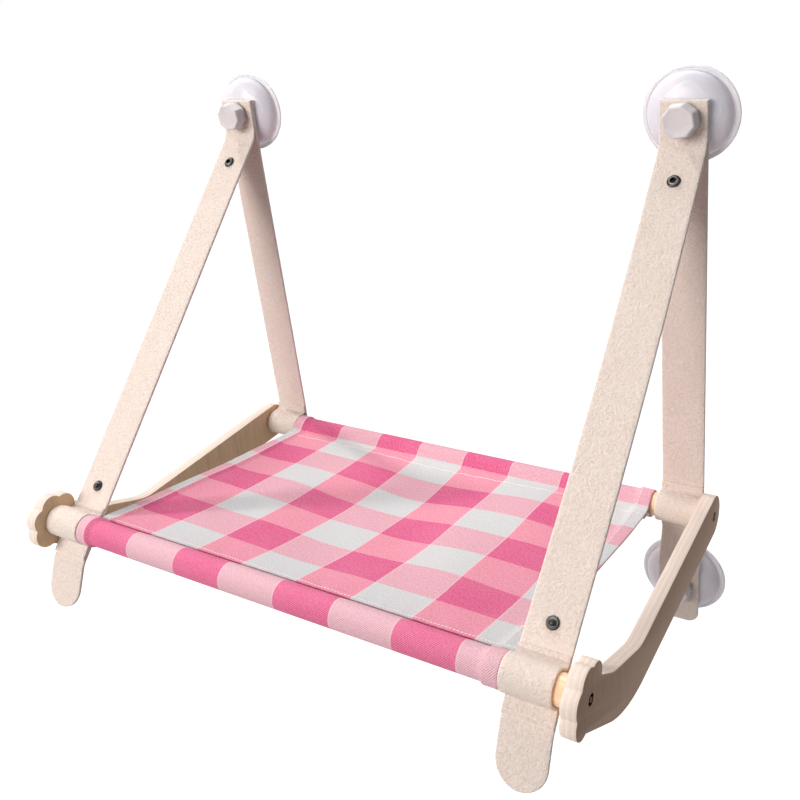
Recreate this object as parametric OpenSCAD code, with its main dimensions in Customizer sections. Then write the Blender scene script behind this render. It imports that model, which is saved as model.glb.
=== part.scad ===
// Window hammock for a cat: a cloth sling on a wooden frame, hung by felt straps from four suction cups.
// Frame: X to the right, +Y into the window, Z up. The window is the plane y = 0, and the origin
// lies on it midway between the two upper cups. Millimetres.

/* [Bed] */
// Width of the bed over the outer faces of the arms
bed_w = 530; // [480:1:600]
// Distance forward from the rear rod to the front rod
bed_reach = 304; // [270:1:340]
// Height of the front rod above the rear rod
bed_rise = 49; // [40:1:60]
// Diameter of the rods
rod_d = 22; // [18:0.5:25]
// Gap between an arm and the strap beside it
arm_gap = 1; // [0.5:0.5:8]
// Bare rod that the straps leave beside the sling, in all
sling_play = 10; // [4:0.5:14]

/* [Arms] */
// Thickness of an arm's board
arm_t = 12; // [9:0.5:15]
// Height of an arm's bar at its round rear end
arm_h = 39; // [34:0.5:42]
// Drop of the bar's top edge from its rear end to the bend
arm_dip = 6.5; // [3:0.5:9]
// Drop of the underside from its rear end to the heel
arm_heel_drop = 2.5; // [0:0.5:5]
// Radius of the bend in the top edge
arm_bend_r = 45; // [30:1:60]
// Radius of the hollow in the top edge behind the lobe
arm_neck_r = 60; // [40:1:80]
// Radius of the heel in the underside
arm_heel_r = 125; // [90:1:140]
// Outer radius of the scalloped lobe at the front
lobe_r = 25; // [22:0.1:28]
// Radius of one scallop
scallop_r = 11.5; // [9.5:0.1:13]
// Radius of the larger scallop under the front
chin_r = 12.5; // [10:0.1:14]
// Reach of that larger scallop from the middle of the lobe
chin_reach = 27.5; // [25:0.1:30]

/* [Straps] */
// Width of the felt straps
strap_w = 39; // [32:1:44]
// Thickness of the straps' felt
felt_t = 3; // [2:0.1:4]
// Thickness of the felt of the loop patches
patch_t = 2.5; // [2:0.1:3.5]
// Height of the square strap end above the axis of an upper cup
strap_top = 14.5; // [12:0.5:20]
// Distance from an upper cup's axis down to the straps' bend
clamp_flat = 22; // [21.5:0.5:28]
// Distance from a lower cup's axis up to the rear strap's bend
lower_flat = 21; // [19:0.5:24]
// Height of a patch's upper hem
hem_up = 7; // [5:0.5:10]
// Height of a patch's lower hem
hem_down = 13; // [8:0.5:16]
// Length of the free tail of a front strap below its patch
tail_free = 42; // [30:1:60]
// Forward lean of that tail
tail_lean = 25; // [10:1:35]
// Length of a rear strap below the axis of its lower cup
rear_tail = 40; // [24:1:50]
// Radius of the rear strap's lower corners
rear_corner_r = 10; // [4:0.5:15]
// Bend radius of a front strap under its nut
clamp_bend_r = 22; // [8:0.5:25]
// Bend radius of the straps elsewhere
strap_bend_r = 22; // [12:1:26]

/* [Height on the window] */
// Height of the upper cups above the rear rod
hang_drop = 363; // [330:1:400]
// Distance of the lower cups below the rear rod
lower_drop = 85; // [80:1:110]

/* [Suction cups] */
// Diameter of a cup over its lip
cup_d = 80; // [70:1:86]
// Height of a cup from the window to the strap
cup_h = 17; // [15:0.5:20]
// Width of the flat lip
lip_w = 6; // [4:0.5:8]
// Thickness of the lip
lip_t = 2; // [1.5:0.1:3]
// Diameter of the shoulder that the strap lies on
shoulder_d = 28; // [24:0.5:32]
// Depth of the hollow towards the window
dish_h = 3; // [2:0.1:4]
// Diameter of the stud
stud_d = 8; // [6:0.5:10]
// Diameter of the stud's head inside the cup
stud_head_d = 18; // [14:0.5:20]
// Thickness of the stud's head
stud_head_t = 2.5; // [2:0.1:3.5]
// Height of the stud's head above the window
stud_head_z = 7; // [6:0.1:9]

/* [Nuts] */
// Diameter of a nut over its corners
nut_d = 29.5; // [28.5:0.5:31]
// Half the width of a nut across its hollow flats
nut_flat_r = 13.3; // [13:0.1:13.6]
// Radius of the hollow in each flat
nut_hollow_r = 30; // [25:1:45]
// Height of a nut with its neck
nut_h = 15; // [12:0.5:17]
// Height of the nut's neck
nut_neck_h = 2; // [1:0.1:3]
// Diameter of the nut's neck
nut_neck_d = 22; // [19:0.5:24]
// Depth of the dished face
nut_dish = 0.9; // [0.4:0.1:1.4]
// Width of the flat rim round the dished face
nut_rim = 1.2; // [0.8:0.1:2]
// Thickness of the closed face over the bore
nut_cap_t = 2.5; // [2:0.1:3.5]
// Bevel round the front face
nut_bevel = 1.2; // [0.5:0.1:2]

/* [Snaps] */
// Distance of the upper snap from the cup's axis along the strap
snap_top = 55; // [50:1:70]
// Distance of the lower snap from the front rod along the strap
snap_low = 39; // [30:1:46]
// Diameter of the snap socket
socket_d = 11; // [9:0.5:12]
// Height of the snap socket
socket_h = 2.4; // [1.8:0.1:3]
// Diameter of the opening in the socket
socket_hole_d = 4.6; // [4.2:0.1:5]
// Diameter of the snap stud's base
snap_stud_d = 10; // [8:0.5:11]
// Height of the snap stud's base
snap_base_h = 1.4; // [1:0.1:2]
// Diameter of the snap stud's knob
snap_knob_d = 6.4; // [5.6:0.1:7]
// Height of the snap stud's knob
snap_knob_h = 2.2; // [1.6:0.1:3]
// Diameter of the caps behind the straps
snap_cap_d = 10.5; // [9:0.5:12]
// Thickness of those caps
snap_cap_h = 1.3; // [1:0.1:2]
// Diameter of the caps' posts
snap_post_d = 3.4; // [3:0.1:3.6]

/* [Screws] */
// Diameter of a screw's shank
screw_d = 4.5; // [3.5:0.1:5]
// Diameter of a screw's countersunk head
screw_head_d = 8.6; // [8:0.1:9.5]
// Height of the head
screw_head_h = 2.6; // [2:0.1:3.5]
// Length of a screw
screw_len = 45; // [35:1:60]
// Width of the cross recess
screw_slot_w = 1.1; // [0.8:0.1:1.4]
// Length of the cross recess
screw_slot_l = 4.8; // [4:0.1:5.5]
// Depth of the cross recess
screw_slot_h = 1.6; // [1:0.1:2]

/* [Sling] */
// Thickness of the cloth
cloth_t = 1.4; // [1:0.1:2]
// Distance of a sleeve's seam from the rod's surface
seam_reach = 6; // [4:0.5:9]
// Width of the cloth lapped under the panel at a seam
seam_lap = 9; // [6:0.5:12]
// Sag of the panel at its side edges
sag_edge = 4; // [2:0.5:8]
// Sag of the panel along its middle
sag_mid = 9; // [4:0.5:16]
// Inward curve of each side edge at its middle
sling_waist = 1; // [0:0.5:8]

/* [Hidden] */
$fn = 64;

// Clearances
rod_gap = 0.3;
sleeve_gap = 0.4;
soft_gap = 0.3;
thread_gap = 0.05;
pocket_gap = 0.15;
hole_gap = 0.3;
screw_gap = 0.2;
pilot_gap = 0.05;
lap_gap = 0.3;
wall_gap = 0.5;
patch_margin = 4;
// Overrun of every cut past the face that it opens
overrun = 1;
// Points on one rounded corner of an outline, and on a cup's dome
corner_steps = 10;
dome_steps = 12;

// Places of the rods and straps, measured from the window and the upper cups
rod_r = rod_d / 2;
rear_y = -(arm_h / 2 + wall_gap);
rear_z = -hang_drop;
front_y = rear_y - bed_reach;
front_z = rear_z + bed_rise;
rod_len = bed_w - 2 * arm_t;
strap_x = bed_w / 2 - arm_t - arm_gap - strap_w / 2;
sling_w = 2 * strap_x - strap_w - sling_play;
// In use the sling and the front loops slide to the left, by shares of that bare rod and of the arm's gap
sling_slide_share = -0.45;
loop_slide_shares = [-0.5, -0.9];
sling_x = sling_slide_share * sling_play;
lower_z = rear_z - lower_drop;

// Outline of an arm, as shares of the reach and rise of the bed and of the radius of the lobe
arm_bend_share = 0.67;
arm_neck_shares = [0.86, 0.74];
arm_heel_share = 0.787;
arm_notch_shares = [-0.64, 0.28];
arm_under_shares = [0.66, -0.62];
lobe_core_share = 0.7;
scallop_angles = [138, 82, 24];
chin_angle = -30;

// Outline of a cup, as shares of its lip
groove_out_share = 0.6;
groove_in_share = 0.82;
groove_depth_share = 0.4;
dome_foot_share = 1.6;
lip_edge_share = 0.35;
// Roundness of the dome
dome_power = 1.3;
dish_steps = 6;

// Steps along the sling's sleeves and panel, and across its width
sleeve_steps = 14;
panel_steps = 12;
width_steps = 8;

// Radius of the small fillets where a patch leaves its hems, as a share of its felt
patch_fillet_share = 1.2;

// A vector of length one
function unit(v) = v / norm(v);

// A vector turned a quarter turn to the left
function left_of(v) = [-v[1], v[0]];

// Points of the arc that rounds the corner b between a and c with radius r
function corner_arc(a, b, c, r) =
    let (
        u = unit(a - b),
        v = unit(c - b),
        half = acos(u * v) / 2,
        centre = b + unit(u + v) * r / sin(half),
        p = b + u * r / tan(half) - centre,
        q = b + v * r / tan(half) - centre,
        start = atan2(p[1], p[0]),
        sweep = (atan2(q[1], q[0]) - start + 540) % 360 - 180
    )
    [for (i = [0 : corner_steps])
        let (a = start + sweep * i / corner_steps)
        centre + r * [cos(a), sin(a)]];

// First two values of a point that also carries its corner radius
function flat(p) = [p[0], p[1]];

// Path with every inner corner rounded by the radius that its point carries
function rounded_path(pts) = [
    for (i = [0 : len(pts) - 1])
        each (i == 0 || i == len(pts) - 1 || pts[i][2] == 0)
            ? [flat(pts[i])]
            : corner_arc(flat(pts[i - 1]), flat(pts[i]), flat(pts[i + 1]), pts[i][2])
];

// Normal of a path at point i, lengthened so that an offset keeps the band's thickness
function path_normal(pts, i) =
    let (
        last = len(pts) - 1,
        a = unit(pts[max(i, 1)] - pts[max(i, 1) - 1]),
        b = unit(pts[min(i, last - 1) + 1] - pts[min(i, last - 1)]),
        m = unit(left_of(a) + left_of(b))
    )
    m / (m * left_of(a));

// Points of a path moved sideways by d
function moved(pts, d) = [for (i = [0 : len(pts) - 1]) pts[i] + path_normal(pts, i) * d];

// A list from its end to its start
function backwards(list) = [for (i = [len(list) - 1 : -1 : 0]) list[i]];

// Outline of a band of thickness t along a path
function band(pts, t) = concat(moved(pts, t / 2), backwards(moved(pts, -t / 2)));

// Paths of the straps' middle planes in the YZ plane
rear_seat_y = -cup_h - felt_t / 2;
front_seat_y = rear_seat_y - felt_t;
rear_rod_y = rear_y + rod_r + rod_gap + felt_t / 2;
loop_ri = rod_r + rod_gap;
loop_ro = loop_ri + patch_t;
loop_top = loop_ro + hem_up;
loop_bottom = loop_ro + hem_down;
rear_path = rounded_path([
    [rear_seat_y, strap_top, 0],
    [rear_seat_y, -clamp_flat, strap_bend_r],
    [rear_rod_y, rear_z + loop_top + patch_margin, strap_bend_r],
    [rear_rod_y, rear_z - loop_bottom - patch_margin, strap_bend_r],
    [rear_seat_y, lower_z + lower_flat, strap_bend_r],
    [rear_seat_y, lower_z - rear_tail, 0]
]);

// The front strap runs straight from the clamp, touches the back of the front rod, and ends in its tail
front_bend = [front_seat_y, -clamp_flat];
to_rod = [front_y, front_z] - front_bend;
touch_r = loop_ri + felt_t / 2;
front_angle = atan2(to_rod[1], to_rod[0]) + asin(touch_r / norm(to_rod));
front_dir = [cos(front_angle), sin(front_angle)];
front_face = [sin(front_angle), -cos(front_angle)];
front_touch = [front_y, front_z] - touch_r * front_face;
tail_start = front_touch + front_dir * (loop_bottom + patch_margin);
tail_dir = [-sin(tail_lean), -cos(tail_lean)];
tail_end = tail_start + tail_dir * tail_free;
lean_end = front_touch - front_dir * loop_top;
front_path = rounded_path([
    [front_seat_y, strap_top, 0],
    [front_bend[0], front_bend[1], clamp_bend_r],
    [lean_end[0], lean_end[1], 0],
    [tail_start[0], tail_start[1], strap_bend_r],
    [tail_end[0], tail_end[1], 0]
]);
// Turn of the front strap's slope from the upright
front_turn = front_angle + 90;
tail_turn = -tail_lean;
snap_top_at = front_bend + front_dir * (snap_top - clamp_flat);
snap_low_at = front_touch - front_dir * snap_low;

// Middle of a front loop along its rod, and of a front strap at p: the strap leans from its cup to its loop
function loop_x(side) =
    side * strap_x + (side < 0 ? loop_slide_shares[0] * arm_gap : loop_slide_shares[1] * sling_play);
function lean_share(p) = max(0, min(1, (p - front_bend) * front_dir / ((lean_end - front_bend) * front_dir)));
function front_x(side, p) = side * strap_x + (loop_x(side) - side * strap_x) * lean_share(p);

// Draws a YZ outline as a solid of width w, centred on x
module across(x, w) {
    translate([x - w / 2, 0, 0])
        rotate([90, 0, 90])
            linear_extrude(w)
                children();
}

// Places children on a strap's middle plane at p, with their Z out of its front face
module on_strap(x, p, turn) {
    translate([x, p[0], p[1]])
        rotate([90 + turn, 0, 0])
            children();
}

// Places children on the axis of a cup, with their Z away from the window
module on_cup(x, z) {
    translate([x, 0, z])
        rotate([90, 0, 0])
            children();
}

// What a round strap end leaves outside its corners of radius r, with the end at the origin
module end_corners(r) {
    for (side = [-1, 1])
        difference() {
            translate([side * (strap_w / 2 - r / 2 + overrun / 2), r / 2 - overrun / 2, 0])
                cube([r + overrun, r + overrun, felt_t + 2 * overrun], center = true);
            translate([side * (strap_w / 2 - r), r, 0])
                cylinder(r = r, h = felt_t + 4 * overrun, center = true);
        }
}

// Outline of a cup from its axis outwards, window at the bottom
cup_r = cup_d / 2;
dish_r = cup_r - lip_w;
dome_r = cup_r - lip_w * groove_in_share;
dome_foot = lip_t * dome_foot_share;
shoulder_r = shoulder_d / 2;
cup_outline = concat(
    [for (i = [0 : dish_steps]) [dish_r * sin(90 * i / dish_steps), dish_h * cos(90 * i / dish_steps)]],
    [
        [cup_r, 0],
        [cup_r, lip_t * (1 - lip_edge_share)],
        [cup_r - lip_t * lip_edge_share, lip_t],
        [cup_r - lip_w * groove_out_share, lip_t],
        [cup_r - lip_w * groove_out_share, lip_t * (1 - groove_depth_share)],
        [dome_r, lip_t * (1 - groove_depth_share)]
    ],
    [for (i = [0 : dome_steps])
        [
            shoulder_r + (dome_r - shoulder_r) * pow(cos(90 * i / dome_steps), dome_power),
            dome_foot + (cup_h - dome_foot) * sin(90 * i / dome_steps)
        ]],
    [[0, cup_h]]
);

// A soft suction cup with its moulded-in pocket for the stud
module suction_cup(x, z) {
    color("whitesmoke")
        on_cup(x, z)
            difference() {
                rotate_extrude() polygon(cup_outline);
                translate([0, 0, stud_head_z])
                    cylinder(d = stud_head_d + 2 * pocket_gap, h = stud_head_t + pocket_gap);
                translate([0, 0, stud_head_z])
                    cylinder(d = stud_d + 2 * pocket_gap, h = cup_h - stud_head_z + overrun);
            }
}

// Length of a stud above the window for a number of straps on it
function stud_top(straps) = cup_h + straps * felt_t + soft_gap + nut_h - nut_cap_t - soft_gap;

// A stud with a flat head that the cup holds
module cup_stud(x, z, straps) {
    color("gainsboro")
        on_cup(x, z) {
            translate([0, 0, stud_head_z])
                cylinder(d = stud_head_d, h = stud_head_t);
            translate([0, 0, stud_head_z])
                cylinder(d = stud_d, h = stud_top(straps) - stud_head_z);
        }
}

// Radius of the ball that hollows the nut's face, inside its rim
nut_dish_r = nut_flat_r - nut_rim;
nut_ball_r = (nut_dish_r * nut_dish_r + nut_dish * nut_dish) / (2 * nut_dish);
nut_face_r = nut_d / 2 - nut_bevel;
nut_sides = 8;

// An eight-sided nut with hollow flats, a neck, a dished face and a blind bore
module cup_nut(x, z, straps) {
    color("lavenderblush")
        on_cup(x, z)
            translate([0, 0, cup_h + straps * felt_t + soft_gap])
                difference() {
                    union() {
                        cylinder(d = nut_neck_d, h = nut_neck_h);
                        intersection() {
                            translate([0, 0, nut_neck_h])
                                linear_extrude(nut_h - nut_neck_h)
                                    difference() {
                                        circle(d = nut_d);
                                        for (i = [0 : nut_sides - 1])
                                            rotate(360 * i / nut_sides)
                                                translate([nut_flat_r + nut_hollow_r, 0])
                                                    circle(r = nut_hollow_r);
                                    }
                            cylinder(r1 = nut_face_r + nut_h, r2 = nut_face_r, h = nut_h);
                        }
                    }
                    translate([0, 0, nut_h + nut_ball_r - nut_dish])
                        sphere(r = nut_ball_r);
                    translate([0, 0, -overrun])
                        cylinder(d = stud_d + 2 * thread_gap, h = nut_h - nut_cap_t + overrun);
                }
}

// Hole for a stud through the straps on a cup
module stud_hole(x, z) {
    on_cup(x, z)
        cylinder(d = stud_d + 2 * hole_gap, h = cup_h + 2 * felt_t + overrun);
}

// A rear strap from the upper cup, behind the rear rod, to the lower cup
module rear_strap(x) {
    color("bisque")
        difference() {
            across(x, strap_w) polygon(band(rear_path, felt_t));
            stud_hole(x, 0);
            stud_hole(x, lower_z);
            on_strap(x, [rear_seat_y, lower_z - rear_tail], 0)
                end_corners(rear_corner_r);
        }
}

// Two triangles of a four-sided face
function quad(a, b, c, d) = [[a, b, c], [a, c, d]];

// Four corners of a front strap's section at point i of its path
function front_ring(side, i) =
    let (
        p = front_path[i],
        n = path_normal(front_path, i) * felt_t / 2,
        x = front_x(side, p),
        half = strap_w / 2
    )
    [
        [x - half, p[0] + n[0], p[1] + n[1]],
        [x + half, p[0] + n[0], p[1] + n[1]],
        [x + half, p[0] - n[0], p[1] - n[1]],
        [x - half, p[0] - n[0], p[1] - n[1]]
    ];

// A front strap from the upper cup to the front rod, with its free round tail
module front_strap(side) {
    last = len(front_path) - 1;
    points = [for (i = [0 : last]) each front_ring(side, i)];
    walls = [
        for (i = [0 : last - 1], k = [0 : 3])
            let (m = (k + 1) % 4)
            each quad(4 * i + k, 4 * i + m, 4 * i + 4 + m, 4 * i + 4 + k)
    ];
    ends = concat(quad(3, 2, 1, 0), quad(4 * last, 4 * last + 1, 4 * last + 2, 4 * last + 3));
    color("bisque")
        difference() {
            polyhedron(points, concat(walls, ends));
            stud_hole(side * strap_x, 0);
            on_strap(loop_x(side), tail_end, tail_turn)
                end_corners(strap_w / 2);
            for (at = [snap_top_at, snap_low_at])
                on_strap(front_x(side, at), at, front_turn)
                    cylinder(d = snap_post_d + 2 * hole_gap, h = felt_t + 2 * overrun, center = true);
        }
}

// Section of a loop patch: X out of the strap's front face, Y up along the strap, rod beside the origin
module patch_section(gap) {
    fillet = patch_t * patch_fillet_share;
    difference() {
        union() {
            translate([loop_ri, 0]) circle(r = loop_ro);
            translate([gap, -loop_ro]) square([loop_ri - gap, 2 * loop_ro]);
            translate([gap, -loop_bottom]) square([patch_t, loop_bottom + loop_top]);
            for (side = [-1, 1])
                difference() {
                    translate([gap + patch_t, side > 0 ? loop_ro : -loop_ro - fillet])
                        square(fillet);
                    translate([gap + patch_t + fillet, side * (loop_ro + fillet)])
                        circle(r = fillet);
                }
        }
        translate([loop_ri, 0]) circle(r = loop_ri);
        translate([-loop_ri, -loop_ri]) square([2 * loop_ri, 2 * loop_ri]);
        translate([gap - 2 * loop_ro, -loop_ro]) square([2 * loop_ro, 2 * loop_ro]);
    }
}

// A felt patch sewn over a strap to hold its rod
module loop_patch(x, p, turn, gap) {
    color("seashell")
        across(x, strap_w)
            translate(p)
                rotate(turn)
                    mirror([1, 0])
                        patch_section(gap);
}

// A snap socket on the front of a strap
module snap_socket(side) {
    color("dimgray")
        on_strap(front_x(side, snap_top_at), snap_top_at, front_turn)
            translate([0, 0, felt_t / 2 + soft_gap])
                difference() {
                    cylinder(d1 = socket_d, d2 = socket_d - socket_h, h = socket_h);
                    translate([0, 0, -overrun])
                        cylinder(d = socket_hole_d, h = socket_h + 2 * overrun);
                }
}

// A cap behind a strap, whose post carries the snap in front
module snap_cap(side, p, rise) {
    color("dimgray")
        on_strap(front_x(side, p), p, front_turn)
            translate([0, 0, -felt_t / 2 - soft_gap]) {
                translate([0, 0, -snap_cap_h])
                    cylinder(d1 = snap_cap_d - snap_cap_h, d2 = snap_cap_d, h = snap_cap_h);
                translate([0, 0, -snap_cap_h])
                    cylinder(d = snap_post_d, h = snap_cap_h + felt_t + 2 * soft_gap + rise);
            }
}

// A snap stud with a round knob
module snap_stud(side) {
    knob_r = snap_knob_d / 2;
    color("dimgray")
        on_strap(front_x(side, snap_low_at), snap_low_at, front_turn)
            translate([0, 0, felt_t / 2 + soft_gap])
                difference() {
                    union() {
                        cylinder(d1 = snap_stud_d, d2 = snap_stud_d - snap_base_h, h = snap_base_h);
                        cylinder(r = knob_r, h = snap_base_h + snap_knob_h - knob_r / 2);
                        translate([0, 0, snap_base_h + snap_knob_h - knob_r / 2])
                            cylinder(r1 = knob_r, r2 = knob_r / 2, h = knob_r / 2);
                    }
                    translate([0, 0, -overrun])
                        cylinder(d = snap_post_d + 2 * pilot_gap, h = snap_base_h + overrun);
                }
}

// Outline of an arm: X forward from the rear rod, Y up. The slope of its top edge goes on to the rear corner.
arm_lobe = [bed_reach, bed_rise];
arm_rear_rise = arm_dip * arm_h / 2 / (bed_reach * arm_bend_share);
arm_outline = rounded_path([
    [arm_lobe[0], arm_lobe[1], 0],
    [arm_lobe[0] + lobe_r * arm_under_shares[0], arm_lobe[1] + lobe_r * arm_under_shares[1], 0],
    [bed_reach * arm_heel_share, -arm_h / 2 - arm_heel_drop, arm_heel_r],
    [-arm_h / 2, -arm_h / 2, arm_h / 2],
    [-arm_h / 2, arm_h / 2 + arm_rear_rise, arm_h / 2],
    [bed_reach * arm_bend_share, arm_h / 2 - arm_dip, arm_bend_r],
    [bed_reach * arm_neck_shares[0], bed_rise * arm_neck_shares[1], arm_neck_r],
    [arm_lobe[0] + lobe_r * arm_notch_shares[0], arm_lobe[1] + lobe_r * arm_notch_shares[1], 0]
]);

// One scallop of the lobe
module scallop(angle, r, reach) {
    translate(arm_lobe)
        rotate(angle)
            translate([reach - r, 0])
                circle(r = r);
}

// Places children on the outer face of an arm at a rod, with their Z outwards
module at_screw(side, y, z) {
    translate([side * bed_w / 2, y, z])
        rotate([0, side * 90, 0])
            children();
}

// Shank and countersunk head of a screw, wider by gap all round, top of the head at the origin
module screw_body(gap) {
    translate([0, 0, -screw_head_h])
        cylinder(d1 = screw_d + 2 * gap, d2 = screw_head_d + 2 * gap, h = screw_head_h);
    translate([0, 0, -screw_len])
        cylinder(d = screw_d + 2 * gap, h = screw_len - screw_head_h + gap);
}

// A plywood arm, round at the rear and scalloped at the front, drilled for its screws
module side_arm(side) {
    color("burlywood")
        difference() {
            translate([side > 0 ? bed_w / 2 : arm_t - bed_w / 2, rear_y, rear_z])
                rotate([90, 0, -90]) {
                    linear_extrude(arm_t) polygon(arm_outline);
                    linear_extrude(arm_t) {
                        translate(arm_lobe) circle(r = lobe_r * lobe_core_share);
                        for (angle = scallop_angles) scallop(angle, scallop_r, lobe_r);
                        scallop(chin_angle, chin_r, chin_reach);
                    }
                }
            at_screw(side, rear_y, rear_z) screw_body(screw_gap);
            at_screw(side, front_y, front_z) screw_body(screw_gap);
        }
}

// A screw with a cross recess
module arm_screw(side, y, z) {
    color("black")
        at_screw(side, y, z)
            difference() {
                screw_body(0);
                for (turn = [0, 90])
                    rotate(turn)
                        translate([-screw_slot_l / 2, -screw_slot_w / 2, -screw_slot_h])
                            cube([screw_slot_l, screw_slot_w, screw_slot_h + overrun]);
            }
}

// A pine rod between the arms, bored at both ends for its screws
module rod(y, z) {
    color("wheat")
        difference() {
            translate([-rod_len / 2, y, z])
                rotate([0, 90, 0])
                    cylinder(d = rod_d, h = rod_len);
            for (side = [-1, 1])
                at_screw(side, y, z)
                    translate([0, 0, -screw_len - pilot_gap])
                        cylinder(d = screw_d + 2 * pilot_gap, h = screw_len);
        }
}

// Middle line of the cloth in the plane across the rods: X from the rear rod to the front rod, Y up.
// Each point also carries its share of the way along the panel, which is zero on the sleeves.
span = norm([bed_reach, bed_rise]);
sleeve_r = rod_r + sleeve_gap + cloth_t / 2;
seam_u = sleeve_r + seam_reach;
seam_angle = acos(sleeve_r / seam_u);
panel_len = span - 2 * seam_u;

// Share of the full sag at a share t of the way along the panel
function bow(t) = 4 * t * (1 - t);

lap_drop = cloth_t + lap_gap;
lap_t = seam_lap / panel_len;
rear_half = concat(
    [[seam_u + seam_lap, -lap_drop, lap_t], [seam_u, -lap_drop, 0]],
    [for (i = [0 : sleeve_steps])
        let (a = -seam_angle - (360 - 2 * seam_angle) * i / sleeve_steps)
        [sleeve_r * cos(a), sleeve_r * sin(a), 0]]
);
cloth_line = concat(
    rear_half,
    [for (i = [0 : panel_steps]) [seam_u + panel_len * i / panel_steps, 0, i / panel_steps]],
    [for (p = backwards(rear_half)) [span - p[0], p[1], p[2]]]
);

// Middle line of the cloth at a place across its width, from -1 at the left edge to 1 at the right
function sagged(s) =
    let (sag = sag_edge + (sag_mid - sag_edge) * (1 - s * s))
    [for (p = cloth_line) [p[0], p[1] - bow(p[2]) * sag]];

// A point across the rods, turned to the slope of the bed and set in the whole part's frame
function on_bed(x, p) =
    let (f = [bed_reach, bed_rise] / span)
    [x, rear_y - p[0] * f[0] + p[1] * f[1], rear_z + p[0] * f[1] + p[1] * f[0]];

cloth_n = len(cloth_line);
ring_n = 2 * cloth_n;

// One ring of points round the cloth's section at a place across its width
function cloth_ring(s) =
    let (line = sagged(s), ring = band(line, cloth_t))
    [for (i = [0 : ring_n - 1])
        let (t = cloth_line[i < cloth_n ? i : ring_n - 1 - i][2])
        on_bed(sling_x + s * (sling_w / 2 - sling_waist * bow(t)), ring[i])];

// The sling: a panel of cloth with a sewn sleeve for each rod
module sling() {
    points = [for (j = [0 : width_steps]) each cloth_ring(2 * j / width_steps - 1)];
    last = width_steps * ring_n;
    walls = [
        for (j = [0 : width_steps - 1], i = [0 : ring_n - 1])
            let (k = (i + 1) % ring_n)
            each quad(j * ring_n + i, j * ring_n + k, (j + 1) * ring_n + k, (j + 1) * ring_n + i)
    ];
    left_edge = [for (i = [0 : cloth_n - 2]) each quad(i, ring_n - 1 - i, ring_n - 2 - i, i + 1)];
    right_edge = [
        for (i = [0 : cloth_n - 2])
            each quad(last + i, last + i + 1, last + ring_n - 2 - i, last + ring_n - 1 - i)
    ];
    color("hotpink")
        polyhedron(points, concat(walls, left_edge, right_edge));
}

suction_cup(-strap_x, 0);  // suction_cup_upper_left
suction_cup(strap_x, 0);  // suction_cup_upper_right
suction_cup(-strap_x, lower_z);  // suction_cup_lower_left
suction_cup(strap_x, lower_z);  // suction_cup_lower_right
cup_stud(-strap_x, 0, 2);  // cup_stud_upper_left
cup_stud(strap_x, 0, 2);  // cup_stud_upper_right
cup_stud(-strap_x, lower_z, 1);  // cup_stud_lower_left
cup_stud(strap_x, lower_z, 1);  // cup_stud_lower_right
cup_nut(-strap_x, 0, 2);  // cup_nut_upper_left
cup_nut(strap_x, 0, 2);  // cup_nut_upper_right
cup_nut(-strap_x, lower_z, 1);  // cup_nut_lower_left
cup_nut(strap_x, lower_z, 1);  // cup_nut_lower_right
rear_strap(-strap_x);  // rear_strap_left
rear_strap(strap_x);  // rear_strap_right
loop_patch(-strap_x, [rear_y + loop_ri, rear_z], 0, 0);  // rear_loop_patch_left
loop_patch(strap_x, [rear_y + loop_ri, rear_z], 0, 0);  // rear_loop_patch_right
front_strap(-1);  // front_strap_left
front_strap(1);  // front_strap_right
loop_patch(loop_x(-1), front_touch + front_face * felt_t / 2, front_turn, soft_gap);  // front_loop_patch_left
loop_patch(loop_x(1), front_touch + front_face * felt_t / 2, front_turn, soft_gap);  // front_loop_patch_right
snap_socket(-1);  // snap_socket_left
snap_socket(1);  // snap_socket_right
snap_cap(-1, snap_top_at, socket_h / 2);  // snap_socket_cap_left
snap_cap(1, snap_top_at, socket_h / 2);  // snap_socket_cap_right
snap_stud(-1);  // snap_stud_left
snap_stud(1);  // snap_stud_right
snap_cap(-1, snap_low_at, snap_base_h / 2);  // snap_stud_cap_left
snap_cap(1, snap_low_at, snap_base_h / 2);  // snap_stud_cap_right
side_arm(-1);  // side_arm_left
side_arm(1);  // side_arm_right
rod(front_y, front_z);  // front_rod
rod(rear_y, rear_z);  // rear_rod
arm_screw(-1, front_y, front_z);  // arm_screw_front_left
arm_screw(1, front_y, front_z);  // arm_screw_front_right
arm_screw(-1, rear_y, rear_z);  // arm_screw_rear_left
arm_screw(1, rear_y, rear_z);  // arm_screw_rear_right
sling();
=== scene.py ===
import math

import bmesh
import bpy
import numpy as np
from mathutils import Matrix, Vector, noise


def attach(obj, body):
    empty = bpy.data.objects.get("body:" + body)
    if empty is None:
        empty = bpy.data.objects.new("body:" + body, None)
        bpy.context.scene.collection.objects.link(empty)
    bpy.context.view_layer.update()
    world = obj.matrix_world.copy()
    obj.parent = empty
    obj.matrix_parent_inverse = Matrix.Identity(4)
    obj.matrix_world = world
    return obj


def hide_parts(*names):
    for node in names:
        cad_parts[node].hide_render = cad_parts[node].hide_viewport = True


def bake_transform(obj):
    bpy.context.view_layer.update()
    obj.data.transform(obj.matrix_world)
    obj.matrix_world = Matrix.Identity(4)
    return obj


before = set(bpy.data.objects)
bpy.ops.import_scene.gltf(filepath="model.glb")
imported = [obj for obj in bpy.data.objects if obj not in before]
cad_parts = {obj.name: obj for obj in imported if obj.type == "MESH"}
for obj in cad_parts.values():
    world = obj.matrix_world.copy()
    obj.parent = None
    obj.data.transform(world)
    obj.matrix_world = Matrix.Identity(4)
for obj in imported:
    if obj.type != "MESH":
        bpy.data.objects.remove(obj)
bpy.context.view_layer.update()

# Suction cups.
# Four cups of soft milky vinyl, each moulded in one piece with a thin flat lip, a groove inside it and a
# shallow petalled rib on the dome. They hold the hammock on the pane, and each grips the head of a stud.

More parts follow.
